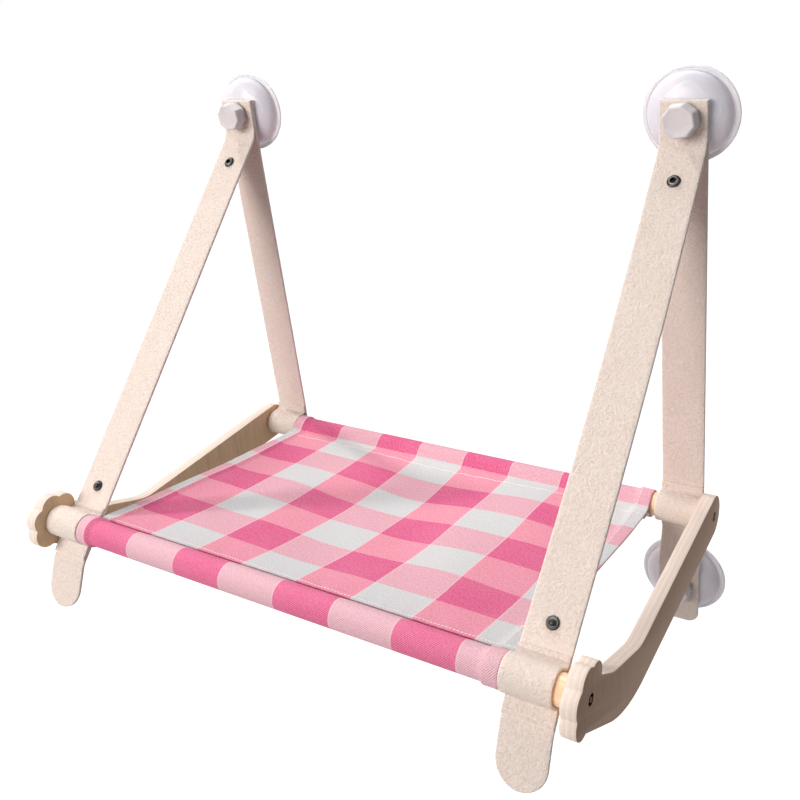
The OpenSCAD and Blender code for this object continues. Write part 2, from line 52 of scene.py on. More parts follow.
CUP_RADIUS = 0.040
CUP_HEIGHT = 0.017
CUP_X = 0.2325
CUP_LEVELS = {"upper": 0.0, "lower": -0.448}
SIDES = {"left": -1, "right": 1}
DOT_ANGLES = {"left": 116, "right": 270}
ROUND_FACETS = 192


def add_node(owner, kind, inputs=None, **settings):
    """One node of a material or world, its inputs set to values or linked to other nodes' outputs."""
    tree = owner.node_tree
    made = tree.nodes.new(kind)
    for key, value in settings.items():
        setattr(made, key, value)
    for key, value in (inputs or {}).items():
        if isinstance(value, bpy.types.NodeSocket):
            tree.links.new(value, made.inputs[key])
        else:
            made.inputs[key].default_value = value
    return made


def new_finish(name, **sockets):
    """A material with the given values on its shader."""
    material = bpy.data.materials.new(name)
    material.use_nodes = True
    shader = material.node_tree.nodes["Principled BSDF"]
    for socket, value in sockets.items():
        shader.inputs[socket.replace("_", " ")].default_value = value
    return material


def feed(material, socket, output):
    """Links an output to a socket of the material's shader."""
    shader = material.node_tree.nodes["Principled BSDF"]
    material.node_tree.links.new(output, shader.inputs[socket])


def mixed(material, factor, low, high):
    """The output of a mix between two colours, each given by its three parts or as an output."""
    low, high = (c if isinstance(c, bpy.types.NodeSocket) else (*c, 1) for c in (low, high))
    return add_node(material, "ShaderNodeMix", {0: factor, 6: low, 7: high}, data_type="RGBA").outputs[2]


def maths(owner, operation, a, b=0.0, c=0.0):
    """The output of one step of arithmetic."""
    return add_node(owner, "ShaderNodeMath", {0: a, 1: b, 2: c}, operation=operation).outputs[0]


def ramp(owner, value, low, high, to_low=0.0, to_high=1.0):
    """A value spread from one range to another and held at its ends."""
    spread = {"Value": value, "From Min": low, "From Max": high, "To Min": to_low, "To Max": to_high}
    return add_node(owner, "ShaderNodeMapRange", spread).outputs["Result"]


def toned(material, height, low, high, dark, light):
    """A colour that goes from dark to light as a height goes from low to high."""
    return mixed(material, ramp(material, height, low, high), dark, light)


def grain(material, where, scale, detail=3.0, roughness=0.55):
    """The height of a noise of that many waves a metre."""
    inputs = {"Vector": where, "Scale": scale, "Detail": detail, "Roughness": roughness}
    return add_node(material, "ShaderNodeTexNoise", inputs).outputs["Fac"]


def bumped(material, height, distance, strength=1.0):
    """A bump of that depth in metres on a material."""
    inputs = {"Height": height, "Distance": distance, "Strength": strength}
    feed(material, "Normal", add_node(material, "ShaderNodeBump", inputs).outputs["Normal"])


def object_place(material):
    """Places in the whole part's frame, because every piece sits at the origin."""
    return add_node(material, "ShaderNodeTexCoord").outputs["Object"]


def skin(rings):
    """Points and faces over a row of rings. A ring of one point is a pole, and open ends are capped."""
    points = [p for ring in rings for p in ring]
    faces = []
    base = 0
    for low, high in zip(rings, rings[1:]):
        top = base + len(low)
        count = max(len(low), len(high))
        for k in range(count):
            m = (k + 1) % count
            corners = [base + k % len(low), base + m % len(low), top + m % len(high), top + k % len(high)]
            faces.append(list(dict.fromkeys(corners)))
        base = top
    if len(rings[0]) > 2:
        faces.append(list(range(len(rings[0]))))
    if len(rings[-1]) > 2:
        faces.append(list(range(base, base + len(rings[-1]))))
    return points, faces


def turned(profile, origin, axis, segments):
    """Rings of a profile of (radius, height) turned round an axis."""
    axis = Vector(axis).normalized()
    across = axis.orthogonal().normalized()
    up = axis.cross(across)
    rings = []
    for r, h in profile:
        ring = []
        for k in range(1 if r == 0 else segments):
            a = 2 * math.pi * k / segments
            ring.append(Vector(origin) + (across * math.cos(a) + up * math.sin(a)) * r + axis * h)
        rings.append(ring)
    return rings


def finished(mesh, shape, material, crisp):
    """A smooth piece at the origin from a shape. Edges sharper than crisp degrees stay crisp."""
    for face in shape.faces:
        face.smooth = True
    for edge in shape.edges:
        edge.smooth = len(edge.link_faces) != 2 or edge.calc_face_angle(0.0) < math.radians(crisp)
    shape.to_mesh(mesh)
    shape.free()
    mesh.materials.append(material)
    piece = bpy.data.objects.new(mesh.name, mesh)
    bpy.context.scene.collection.objects.link(piece)
    return piece


def make_piece(name, points, faces, material, crisp=35, marks=None):
    """A piece made of points and faces, with marks kept as values of its points."""
    mesh = bpy.data.meshes.new(name)
    mesh.from_pydata([tuple(p) for p in points], [], faces)
    for key, values in (marks or {}).items():
        mesh.attributes.new(key, "FLOAT", "POINT").data.foreach_set("value", np.asarray(values, np.float32))
    shape = bmesh.new()
    shape.from_mesh(mesh)
    bmesh.ops.remove_doubles(shape, verts=shape.verts, dist=1e-7)
    bmesh.ops.recalc_face_normals(shape, faces=shape.faces)
    return finished(mesh, shape, material, crisp)


vinyl = new_finish(
    "milky_vinyl",
    Roughness=0.36,
    Subsurface_Weight=0.7,
    Subsurface_Scale=0.012,
    Subsurface_Radius=(1.0, 0.8, 0.8),
    Coat_Weight=0.1,
    IOR=1.45,
)
vinyl_place = object_place(vinyl)
cloud = grain(vinyl, vinyl_place, 38.0, 4.0)
feed(vinyl, "Base Color", toned(vinyl, cloud, 0.35, 0.65, (0.70, 0.681, 0.739), (0.753, 0.729, 0.768)))
bumped(vinyl, grain(vinyl, vinyl_place, 900.0, 2.0), 0.00003)

HOLLOW_RADIUS = 0.034
HOLLOW_DEPTH = 0.003
DOME_FOOT = 0.0032
DOME_RADIUS = CUP_RADIUS - 0.00492
DOME_SWELL = 1.3
SHOULDER_RADIUS = 0.014
NECK_RADIUS = 0.00415

# The room inside the cup for the stud's head, as (radius, height).
HEAD_ROOM = [(NECK_RADIUS, 0.00965), (0.00915, 0.00965), (0.00915, 0.007), (0.0, 0.007)]
quarter = math.pi / 2
cup_profile = [(HOLLOW_RADIUS * math.sin(t), HOLLOW_DEPTH * math.cos(t)) for t in np.linspace(0, quarter, 14)]
cup_profile += [(0.0397, 0.0), (0.0400, 0.0003), (0.0400, 0.0012), (0.0397, 0.0017), (0.0392, 0.0020)]
cup_profile += [(0.0370, 0.0021), (0.0366, 0.0019), (0.0364, 0.0009), (0.0354, 0.0008), (DOME_RADIUS, 0.0011)]
for t in np.linspace(0, quarter, 44):
    r = SHOULDER_RADIUS + (DOME_RADIUS - SHOULDER_RADIUS) * math.cos(t) ** DOME_SWELL
    cup_profile.append((r, DOME_FOOT + (CUP_HEIGHT - DOME_FOOT) * math.sin(t)))
cup_profile += [(0.0045, CUP_HEIGHT), (NECK_RADIUS, CUP_HEIGHT - 0.0003)] + HEAD_ROOM

PETALS = 5
PETAL_RADIUS, PETAL_WAVE = 0.0262, 0.0020
RIB_HEIGHT, RIB_WIDTH, RIB_MARGIN = 0.00028, 0.0008, 0.001
DOT_RADIUS, DOT_HEIGHT, DOT_WIDTH = 0.025, 0.0005, 0.0011


def cup_rib(r, angle, dot_angle):
    """Height of the petalled rib and of the moulding dot on the dome."""
    petals = PETAL_RADIUS + PETAL_WAVE * math.cos(PETALS * (angle - quarter))
    rib = RIB_HEIGHT * math.exp(-(((r - petals) / RIB_WIDTH) ** 2))
    off = angle - dot_angle
    from_dot = math.hypot(r * math.cos(off) - DOT_RADIUS, r * math.sin(off))
    dot = DOT_HEIGHT * math.exp(-((from_dot / DOT_WIDTH) ** 4))
    return rib * (SHOULDER_RADIUS + RIB_MARGIN < r < DOME_RADIUS - RIB_MARGIN) + dot


for level, cup_z in CUP_LEVELS.items():
    for side, sign in SIDES.items():
        axis_at = Vector((sign * CUP_X, 0, cup_z))
        rings = turned(cup_profile, axis_at, (0, -1, 0), ROUND_FACETS)
        dot_angle = math.radians(DOT_ANGLES[side])
        for ring, (r, h) in zip(rings, cup_profile):
            if h > DOME_FOOT and SHOULDER_RADIUS < r < DOME_RADIUS:
                for p in ring:
                    offset = p - axis_at
                    p.y -= cup_rib(r, math.atan2(offset.z, offset.x), dot_angle)
        cup = make_piece(f"cup_{level}_{side}", *skin(rings), vinyl, crisp=50)
        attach(cup, "window_mount")
        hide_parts(f"suction_cup_{level}_{side}")

# Cup studs and nuts.
# Each cup carries a plain stud of moulded plastic. A knob-like nut with eight hollow flats and a dished,
# closed face screws on to it by hand and clamps the felt straps against the cup's shoulder.

NUT_SIDES = 8
NUT_CORNER = 0.01475
CORNER_SOFTNESS = 0.0012
FLAT_HOLLOW_AT, FLAT_HOLLOW_RADIUS = 0.0735, 0.060
NUT_HEIGHT = 0.015
NUT_DISH_MIDDLE = 0.0141
BORE_RADIUS, BORE_DEPTH = 0.00405, NUT_HEIGHT - 0.0025
NUT_TURN = {"upper": 9, "lower": 20}
STRAPS_ON = {"upper": 2, "lower": 1}
FELT = 0.003
FIT = 0.0003

knob = new_finish("moulded_knob", Roughness=0.42, Subsurface_Weight=0.1, Subsurface_Scale=0.002, IOR=1.5)
knob_place = object_place(knob)
knob_cloud = grain(knob, knob_place, 60.0)
feed(knob, "Base Color", toned(knob, knob_cloud, 0.35, 0.65, (0.62, 0.575, 0.59), (0.69, 0.635, 0.635)))
bumped(knob, grain(knob, knob_place, 1300.0, 2.0), 0.00003)


def nut_reach(angle):
    """Distance from the nut's axis to its side: hollow flats between rounded corners."""
    step = 2 * math.pi / NUT_SIDES
    off = (angle + step / 2) % step - step / 2
    aside = FLAT_HOLLOW_AT * math.sin(off)
    flat = FLAT_HOLLOW_AT * math.cos(off) - math.sqrt(FLAT_HOLLOW_RADIUS**2 - aside**2)
    blend = max(0.0, min(1.0, 0.5 + 0.5 * (NUT_CORNER - flat) / CORNER_SOFTNESS))
    return NUT_CORNER * (1 - blend) + flat * blend - CORNER_SOFTNESS * blend * (1 - blend)


# The nut's levels from the strap outwards, each as (height, inset, share of the sides' hollow).
nut_levels = [(0.0, -0.0041, 0.0), (0.0003, -0.0038, 0.0), (0.0019, -0.0038, 0.0)]
nut_levels += [(0.0020, -0.0018, 1.0), (0.0021, -0.0006, 1.0), (0.0027, 0.0, 1.0), (0.0060, -0.0001, 1.0)]
nut_levels += [(0.0130, -0.0006, 1.0), (0.0138, -0.0008, 1.0), (0.0144, -0.0011, 1.0), (0.0148, -0.0016, 1.0)]
nut_levels += [(0.0150, -0.0024, 1.0), (0.0149, -0.0034, 0.8), (0.0146, -0.0052, 0.3)]
nut_levels += [(0.0143, -0.0078, 0.0), (0.01414, -0.0110, 0.0)]
bore_profile = [(BORE_RADIUS, 0.0), (BORE_RADIUS, BORE_DEPTH), (0.0, BORE_DEPTH)]

for level, cup_z in CUP_LEVELS.items():
    for side, sign in SIDES.items():
        seat = CUP_HEIGHT + STRAPS_ON[level] * FELT + FIT
        turn = math.radians(NUT_TURN[level])
        rings = []
        for height, inset, sided in nut_levels:
            ring = []
            for k in range(ROUND_FACETS):
                a = 2 * math.pi * k / ROUND_FACETS
                r = NUT_CORNER + inset + (nut_reach(a) - NUT_CORNER) * sided
                aside, above = r * math.cos(a + turn), r * math.sin(a + turn)
                ring.append(Vector((sign * CUP_X + aside, -seat - height, cup_z + above)))
            rings.append(ring)
        rings.append([Vector((sign * CUP_X, -seat - NUT_DISH_MIDDLE, cup_z))])
        bore = turned(bore_profile, (sign * CUP_X, -seat, cup_z), (0, -1, 0), ROUND_FACETS)
        nut = make_piece(f"nut_{level}_{side}", *skin(bore[::-1] + rings), knob, crisp=60)
        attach(nut, f"nut_{level}_{side}")
        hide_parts(f"cup_nut_{level}_{side}")
        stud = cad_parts[f"cup_stud_{level}_{side}"]
        stud.data.materials.clear()
        stud.data.materials.append(knob)

# Rear straps.
# Two strips of dense cream felt, cut square at the top and with rounded corners below. Each hangs from an
# upper cup, passes behind the rear rod and ends under a lower cup, where a second nut holds it to the pane.

STRAP_WIDTH = 0.039
STRAP_TOP = 0.0145
STRAP_BEND = 0.022
CLAMP_FLAT = 0.022
LOWER_FLAT = 0.021
LOWER_END, LOWER_CORNER = 0.040, 0.010
REAR_ROD = Vector((0.0, -0.020, -0.363))
FRONT_ROD = Vector((0.0, -0.324, -0.314))
ROD_RADIUS = 0.011
PATCH_FELT = 0.0025
LOOP_INNER = ROD_RADIUS + FIT
LOOP_OUTER = LOOP_INNER + PATCH_FELT
LOOP_TOP = LOOP_OUTER + 0.007
LOOP_BOTTOM = LOOP_OUTER + 0.013
PAST_LOOP = 0.004
EDGE_ROUND = 0.38
GROOVE_DEPTH, GROOVE_WIDTH = 0.0003, 0.0011


def stretched(material, where, *waves):
    """A place stretched to that many waves a metre along each axis."""
    return add_node(material, "ShaderNodeMapping", {"Vector": where, "Scale": waves}).outputs["Vector"]


felt = new_finish("cream_felt", Roughness=0.95, Sheen_Weight=0.06, Sheen_Roughness=0.5, IOR=1.3)
felt_place = object_place(felt)
fibre = grain(felt, felt_place, 1050.0, 4.0, 0.65)
pits = grain(felt, felt_place, 480.0, 4.0, 0.6)
tone = grain(felt, felt_place, 26.0, 3.0)
# Cut edges and the rounded sides of the felt are painted paler: a painted highlight along the felt's edges.
cut_edge = add_node(felt, "ShaderNodeAttribute", attribute_name="cut").outputs["Fac"]
body_colour = toned(felt, tone, 0.3, 0.7, (0.795, 0.671, 0.597), (0.845, 0.726, 0.652))
pitted = toned(felt, pits, 0.31, 0.60, (0.706, 0.581, 0.510), body_colour)
fibrous = toned(felt, fibre, 0.45, 0.75, pitted, (0.865, 0.762, 0.688))
pale_cut = maths(felt, "MULTIPLY", cut_edge, 0.7)
feed(felt, "Base Color", mixed(felt, pale_cut, fibrous, (0.95, 0.87, 0.80)))
creases = grain(felt, stretched(felt, felt_place, 150.0, 300.0, 300.0), 1.0, 3.0)
creased = maths(felt, "MULTIPLY", creases, ramp(felt, tone, 0.42, 0.62))
lumps = maths(felt, "SUBTRACT", grain(felt, felt_place, 320.0, 3.0, 0.55), 0.5)
crumple = maths(felt, "ABSOLUTE", lumps)
wrinkled = maths(felt, "MULTIPLY_ADD", crumple, 1.4, maths(felt, "MULTIPLY_ADD", creased, 0.8, pits))
bumped(felt, maths(felt, "MULTIPLY_ADD", fibre, 0.6, wrinkled), 0.0010)


def path_length(path):
    """Distance along a path at each of its points."""
    return np.concatenate([[0], np.cumsum(np.linalg.norm(np.diff(path, axis=0), axis=1))])


def path_points(path, spots):
    """Points of a path at distances along it."""
    along = path_length(path)
    return np.stack([np.interp(spots, along, path[:, k]) for k in (0, 1)], 1)


def path_normals(path):
    """Directions square to a path at its points."""
    tangent = np.gradient(path, axis=0)
    tangent /= np.linalg.norm(tangent, axis=1)[:, None]
    return np.stack([-tangent[:, 1], tangent[:, 0]], 1)


def rounded_path(corners, step=0.0025):
    """Evenly spaced points along a path of (y, z, radius), each inner corner rounded by its radius."""
    points = [np.array(corners[0][:2])]
    for before, here, after in zip(corners, corners[1:], corners[2:]):
        b = np.array(here[:2])
        u = np.array(before[:2]) - b
        v = np.array(after[:2]) - b
        u /= np.linalg.norm(u)
        v /= np.linalg.norm(v)
        half = math.acos(max(-1.0, min(1.0, float(u @ v)))) / 2
        radius = here[2]
        if radius == 0 or half > math.radians(89.9):
            points.append(b)
            continue
        centre = b + (u + v) / np.linalg.norm(u + v) * radius / math.sin(half)
        start = b + u * radius / math.tan(half) - centre
        stop = b + v * radius / math.tan(half) - centre
        a = math.atan2(start[1], start[0])
        sweep = (math.atan2(stop[1], stop[0]) - a + 3 * math.pi) % (2 * math.pi) - math.pi
        for t in np.linspace(0, 1, 17):
            points.append(centre + radius * np.array([math.cos(a + sweep * t), math.sin(a + sweep * t)]))
    points = np.array(points + [np.array(corners[-1][:2])])
    length = path_length(points)[-1]
    return path_points(points, np.linspace(0, length, max(8, int(length / step))))


def round_end(path, width, radius):
    """The path with closer points at its end, and the half width there for corners of that radius."""
    along = path_length(path)
    end = along[-1]
    near = end - radius * (1 - np.cos(np.linspace(math.pi / 2, 0, 15)))
    spots = [along[along < end - radius * 1.001], near[:-1], [end - radius * 0.0008]]
    spots = np.unique(np.concatenate(spots))
    left = np.clip(radius - (end - spots), 0, radius)
    half = width / 2 - radius + np.sqrt(np.maximum(radius**2 - left**2, (radius * 0.02) ** 2))
    return path_points(path, spots), half


def felt_strip(name, path, middle, half, thickness, fuzz=0.00010, grooves=()):
    """A felt strip along a path of (y, z), with soft edges that are marked for a painted highlight, and
    grooves in its face.
    """
    along = path_length(path)
    middle = np.broadcast_to(middle, len(path))
    half = np.broadcast_to(half, len(path))
    thickness = np.broadcast_to(thickness, len(path))
    across = np.linspace(-1, 1, 15)
    bend = np.linspace(math.pi / 2, -math.pi / 2, 7)[1:-1]
    rings, cut = [], []
    for (y, z), x, w, n, d, thick in zip(path, middle, half, path_normals(path), along, thickness):
        at_end = float(d == 0 or d == along[-1])
        pressed = sum(GROOVE_DEPTH * math.exp(-(((d - g) / GROOVE_WIDTH) ** 2)) for g in grooves)
        edge = min(thick * EDGE_ROUND, w * 0.5)
        loop = [((w - edge) * a, thick / 2, at_end) for a in across]
        loop += [(w - edge + edge * math.cos(b), thick / 2 * math.sin(b), 1.0) for b in bend]
        loop += [((w - edge) * a, -thick / 2, at_end) for a in across[::-1]]
        loop += [(-(w - edge) - edge * math.cos(b), -thick / 2 * math.sin(b), 1.0) for b in bend]
        ring = []
        for a, b, at_edge in loop:
            p = Vector((x + a, y + n[0] * b, z + n[1] * b))
            lift = (noise.noise(p * 260) + noise.noise(p * 70)) * fuzz - (pressed if b > 0 else 0.0)
            ring.append(p + Vector((0, n[0], n[1])) * math.copysign(lift, b or 1.0))
            cut.append(at_edge)
        rings.append(ring)
    return make_piece(name, *skin(rings), felt, crisp=75, marks={"cut": cut})


REAR_SEAT = -CUP_HEIGHT - FELT / 2
REAR_BEHIND = REAR_ROD.y + LOOP_INNER + FELT / 2
rear_path = rounded_path([
    (REAR_SEAT, STRAP_TOP, 0),
    (REAR_SEAT, -CLAMP_FLAT, STRAP_BEND),
    (REAR_BEHIND, REAR_ROD.z + LOOP_TOP + PAST_LOOP, STRAP_BEND),
    (REAR_BEHIND, REAR_ROD.z - LOOP_BOTTOM - PAST_LOOP, STRAP_BEND),
    (REAR_SEAT, CUP_LEVELS["lower"] + LOWER_FLAT, STRAP_BEND),
    (REAR_SEAT, CUP_LEVELS["lower"] - LOWER_END, 0),
])
rear_line, rear_half = round_end(rear_path, STRAP_WIDTH, LOWER_CORNER)
for side, sign in SIDES.items():
    strap = felt_strip(f"rear_felt_{side}", rear_line, sign * CUP_X, rear_half, FELT)
    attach(strap, "window_mount")
    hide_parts(f"rear_strap_{side}")

# Front straps.
# Two more strips of the same felt, clamped under the upper nuts on top of the rear straps. Each runs down to
# the front rod, passes behind it, and ends in a free round tail. Pulled tight, they carry the bed's front.

LOOP_X = {"left": -CUP_X - 0.0005, "right": CUP_X - 0.009}
STRAP_SAG = {"left": 0.0, "right": 0.004}
LEAN_BOW, SAG_BOW = 1.4, 1.5
TAIL_LENGTH, TAIL_LEAN = 0.042, math.radians(25)
front_corner = np.array([REAR_SEAT - FELT, -CLAMP_FLAT])
rod_centre = np.array([FRONT_ROD.y, FRONT_ROD.z])
to_rod = rod_centre - front_corner
touch = LOOP_INNER + FELT / 2
slope = math.atan2(to_rod[1], to_rod[0]) + math.asin(touch / np.linalg.norm(to_rod))
down = np.array([math.cos(slope), math.sin(slope)])
face = np.array([math.sin(slope), -math.cos(slope)])
front_touch = rod_centre - touch * face
tail_start = front_touch + down * (LOOP_BOTTOM + PAST_LOOP)
tail_end = tail_start + TAIL_LENGTH * np.array([-math.sin(TAIL_LEAN), -math.cos(TAIL_LEAN)])
front_path = rounded_path([
    (front_corner[0], STRAP_TOP, 0),
    (*front_corner, STRAP_BEND),
    (*tail_start, STRAP_BEND),
    (*tail_end, 0),
])
front_line, front_half = round_end(front_path, STRAP_WIDTH, STRAP_WIDTH / 2)
lean_length = float((front_touch - down * LOOP_TOP - front_corner) @ down)


def down_strap(place):
    """Share of the way from a front strap's bend to its loop, at a place that it passes."""
    return np.clip((np.asarray(place) - front_corner) @ down / lean_length, 0, 1)


def strap_middle(side, place):
    """Middle of a front strap along X at a place: it leans from its cup to its loop on the rod."""
    cup_middle = SIDES[side] * CUP_X
    return cup_middle + (LOOP_X[side] - cup_middle) * down_strap(place) ** LEAN_BOW


def slack(side, place):
    """How far a front strap sags behind its straight line at a place."""
    return STRAP_SAG[side] * (np.sin(math.pi * down_strap(place)) ** SAG_BOW)


def on_front_strap(side, distance, lift):
    """A point above the front face of a front strap, a distance along its slope from its bend."""
    place = front_corner + down * distance
    x = float(strap_middle(side, place))
    return Vector((x, *(place + face * (lift - float(slack(side, place))))))


for side in SIDES:
    sagged = front_line - slack(side, front_line)[:, None] * face
    strap = felt_strip(f"front_felt_{side}", sagged, strap_middle(side, front_line), front_half, FELT)
    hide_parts(f"front_strap_{side}")
    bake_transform(strap)

# Loop patches.
# A short felt patch is sewn across each strap, above and below a rod, so that it makes a tight sleeve round
# the rod. Rows of cream thread show along the hems.

PATCH_BEND = 0.0035
PATCH_STEP = 0.0007
PATCH_FUZZ = 0.00008
HEM_FLAT, HEM_EASE, HEM_PRESSED = 0.0045, 0.0035, 0.72
LOW_ROW = 0.0036
TOP_ROWS = {"rear": [0.0021, 0.0045], "front": [0.0026]}
ROW_INSET = 0.0028
LOOP_STITCH = {"pitch": 0.0036, "length": 0.0030, "radius": 0.0005}
THREAD_SINK = 0.0001


def patch_path():
    """Middle line of a patch as (out of the strap's face, up along it), from its lower hem to its upper."""
    out = PATCH_FELT / 2
    reach = LOOP_INNER + PATCH_FELT / 2
    lower = [(out, -LOOP_BOTTOM, 0), (out, -reach, PATCH_BEND), (LOOP_INNER, -reach, 0)]
    arc = [
        (LOOP_INNER + reach * math.cos(a), reach * math.sin(a), 0)
        for a in np.linspace(-math.pi / 2, math.pi / 2, 25)[1:-1]
    ]
    upper = [(LOOP_INNER, reach, 0), (out, reach, PATCH_BEND), (out, LOOP_TOP, 0)]
    return rounded_path(lower + arc + upper, PATCH_STEP)


def hem_thickness(from_end):
    """Thickness of a patch at a distance from its end: the stitches press its hems flat."""
    share = np.clip((np.asarray(from_end) - HEM_FLAT) / HEM_EASE, 0, 1)
    return PATCH_FELT * (HEM_PRESSED + (1 - HEM_PRESSED) * share * share * (3 - 2 * share))


def stitch_tree():
    """Geometry nodes that lay thread stitches along a line of edges."""
    tree = bpy.data.node_groups.new("thread_stitches", "GeometryNodeTree")
    tree.interface.new_socket("Seam", in_out="INPUT", socket_type="NodeSocketGeometry")
    for key, default in (("Pitch", 0.0042), ("Stitch length", 0.0031), ("Thread radius", 0.0004)):
        socket = tree.interface.new_socket(key, in_out="INPUT", socket_type="NodeSocketFloat")
        socket.default_value = default
    tree.interface.new_socket("Thread", in_out="INPUT", socket_type="NodeSocketMaterial")
    tree.interface.new_socket("Stitches", in_out="OUTPUT", socket_type="NodeSocketGeometry")
    made = {}
    for key, kind in (
        ("given", "NodeGroupInput"),
        ("curve", "GeometryNodeMeshToCurve"),
        ("spots", "GeometryNodeResampleCurve"),
        ("tangent", "GeometryNodeInputTangent"),
        ("turn", "FunctionNodeAlignRotationToVector"),
        ("bead", "GeometryNodeMeshUVSphere"),
        ("half", "ShaderNodeMath"),
        ("size", "ShaderNodeCombineXYZ"),
        ("stitch", "GeometryNodeTransform"),
        ("sew", "GeometryNodeInstanceOnPoints"),
        ("real", "GeometryNodeRealizeInstances"),
        ("smooth", "GeometryNodeSetShadeSmooth"),
        ("dye", "GeometryNodeSetMaterial"),
        ("result", "NodeGroupOutput"),
    ):
        made[key] = tree.nodes.new(kind)
    made["spots"].mode = "LENGTH"
    made["turn"].axis = "X"
    made["half"].operation = "MULTIPLY"
    made["half"].inputs[1].default_value = 0.5
    made["bead"].inputs["Segments"].default_value = 8
    made["bead"].inputs["Rings"].default_value = 6
    made["bead"].inputs["Radius"].default_value = 1.0
    for source, output, target, socket in (
        ("given", "Seam", "curve", "Mesh"),
        ("curve", "Curve", "spots", "Curve"),
        ("given", "Pitch", "spots", "Length"),
        ("tangent", "Tangent", "turn", "Vector"),
        ("given", "Stitch length", "half", 0),
        ("half", 0, "size", "X"),
        ("given", "Thread radius", "size", "Y"),
        ("given", "Thread radius", "size", "Z"),
        ("bead", "Mesh", "stitch", "Geometry"),
        ("size", "Vector", "stitch", "Scale"),
        ("spots", "Curve", "sew", "Points"),
        ("stitch", "Geometry", "sew", "Instance"),
        ("turn", "Rotation", "sew", "Rotation"),
        ("sew", "Instances", "real", "Geometry"),
        ("real", "Geometry", "smooth", "Geometry"),
        ("smooth", "Geometry", "dye", "Geometry"),
        ("given", "Thread", "dye", "Material"),
        ("dye", "Geometry", "result", "Stitches"),
    ):
        tree.links.new(made[source].outputs[output], made[target].inputs[socket])
    return tree


thread_stitches = stitch_tree()


def sewn(name, seams, thread, pitch, length, radius):
    """Thread stitches along several seams, each a row of points, as one plain mesh."""
    mesh = bpy.data.meshes.new(name)
    points, edges = [], []
    for seam in seams:
        base = len(points)
        points += [tuple(p) for p in seam]
        edges += [(base + k, base + k + 1) for k in range(len(seam) - 1)]
    mesh.from_pydata(points, edges, [])
    seamed = bpy.data.objects.new(name, mesh)
    bpy.context.scene.collection.objects.link(seamed)
    modifier = seamed.modifiers.new("stitches", "NODES")
    modifier.node_group = thread_stitches
    values = {"Pitch": pitch, "Stitch length": length, "Thread radius": radius, "Thread": thread}
    for socket in thread_stitches.interface.items_tree:
        if socket.name in values:
            modifier[socket.identifier] = values[socket.name]
    bpy.context.view_layer.update()
    evaluated = seamed.evaluated_get(bpy.context.evaluated_depsgraph_get())
    stitched = bpy.data.meshes.new_from_object(evaluated)
    seamed.modifiers.clear()
    seamed.data = stitched
    stitched.name = name
    return seamed


def thread_finish(name, roughness, dark, light):
    """Twisted sewing thread."""
    thread = new_finish(name, Roughness=roughness, Sheen_Weight=0.2)
    twist = grain(thread, object_place(thread), 1500.0, 2.0)
    feed(thread, "Base Color", mixed(thread, twist, dark, light))
    return thread


cream_thread = thread_finish("cream_thread", 0.75, (0.87, 0.775, 0.70), (0.94, 0.865, 0.80))
patches = []
for side, sign in SIDES.items():
    behind_rod = np.array([REAR_ROD.y + LOOP_INNER, REAR_ROD.z])
    upright = (behind_rod, np.array([-1.0, 0.0]), np.array([0.0, 1.0]))
    sloping = (front_touch + face * FELT / 2, face, -down)
    patches.append(("rear", side, upright, sign * CUP_X, "window_mount", "rear_rod"))
    patches.append(("front", side, sloping, LOOP_X[side], "bed", "front_rod"))
for end, side, (origin, outward, upward), middle, body, rod in patches:
    local = patch_path()
    along = path_length(local)
    felt_here = hem_thickness(np.minimum(along, along[-1] - along))
    local[:, 0] -= (PATCH_FELT - felt_here) / 2
    line = origin + local[:, :1] * outward + local[:, 1:] * upward
    grooves = [LOW_ROW] + [along[-1] - row for row in TOP_ROWS[end]]
    half = STRAP_WIDTH / 2
    patch = felt_strip(f"{end}_loop_felt_{side}", line, middle, half, felt_here, PATCH_FUZZ, grooves)
    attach(patch, body)
    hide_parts(f"{end}_loop_patch_{side}")
    across = np.linspace(middle - half + ROW_INSET, middle + half - ROW_INSET, 25)
    seams = []
    for row, up in [(LOW_ROW, LOW_ROW - LOOP_BOTTOM)] + [(row, LOOP_TOP - row) for row in TOP_ROWS[end]]:
        y, z = origin + (hem_thickness(row) - THREAD_SINK) * outward + up * upward
        seams.append([(x, y, z) for x in across])
    stitches = sewn(f"{end}_loop_stitches_{side}", seams, cream_thread, **LOOP_STITCH)
    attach(stitches, body)

# Snap fasteners.
# Press snaps of dark plated metal sit in the front straps: a socket near the top, and a stud with a round
# knob just above the front rod. Each is riveted through the felt to a cap behind.

gunmetal = new_finish("gunmetal", Metallic=1.0, Roughness=0.32)
worn = grain(gunmetal, object_place(gunmetal), 700.0, 4.0)
dark_plate = toned(gunmetal, worn, 0.4, 0.7, (0.028, 0.026, 0.025), (0.06, 0.056, 0.053))
# The lighter grey on the raised crown of each snap is a painted highlight.
crown_highlight = add_node(gunmetal, "ShaderNodeAttribute", attribute_name="crown_highlight").outputs["Fac"]
feed(gunmetal, "Base Color", mixed(gunmetal, crown_highlight, dark_plate, (0.17, 0.165, 0.16)))
feed(gunmetal, "Roughness", ramp(gunmetal, worn, 0.3, 0.7, 0.26, 0.42))

SNAP_LIFT = FELT / 2 + FIT
SNAP_FACETS = 48
SOCKET_BELOW_CUP, STUD_ABOVE_ROD = 0.055, 0.039
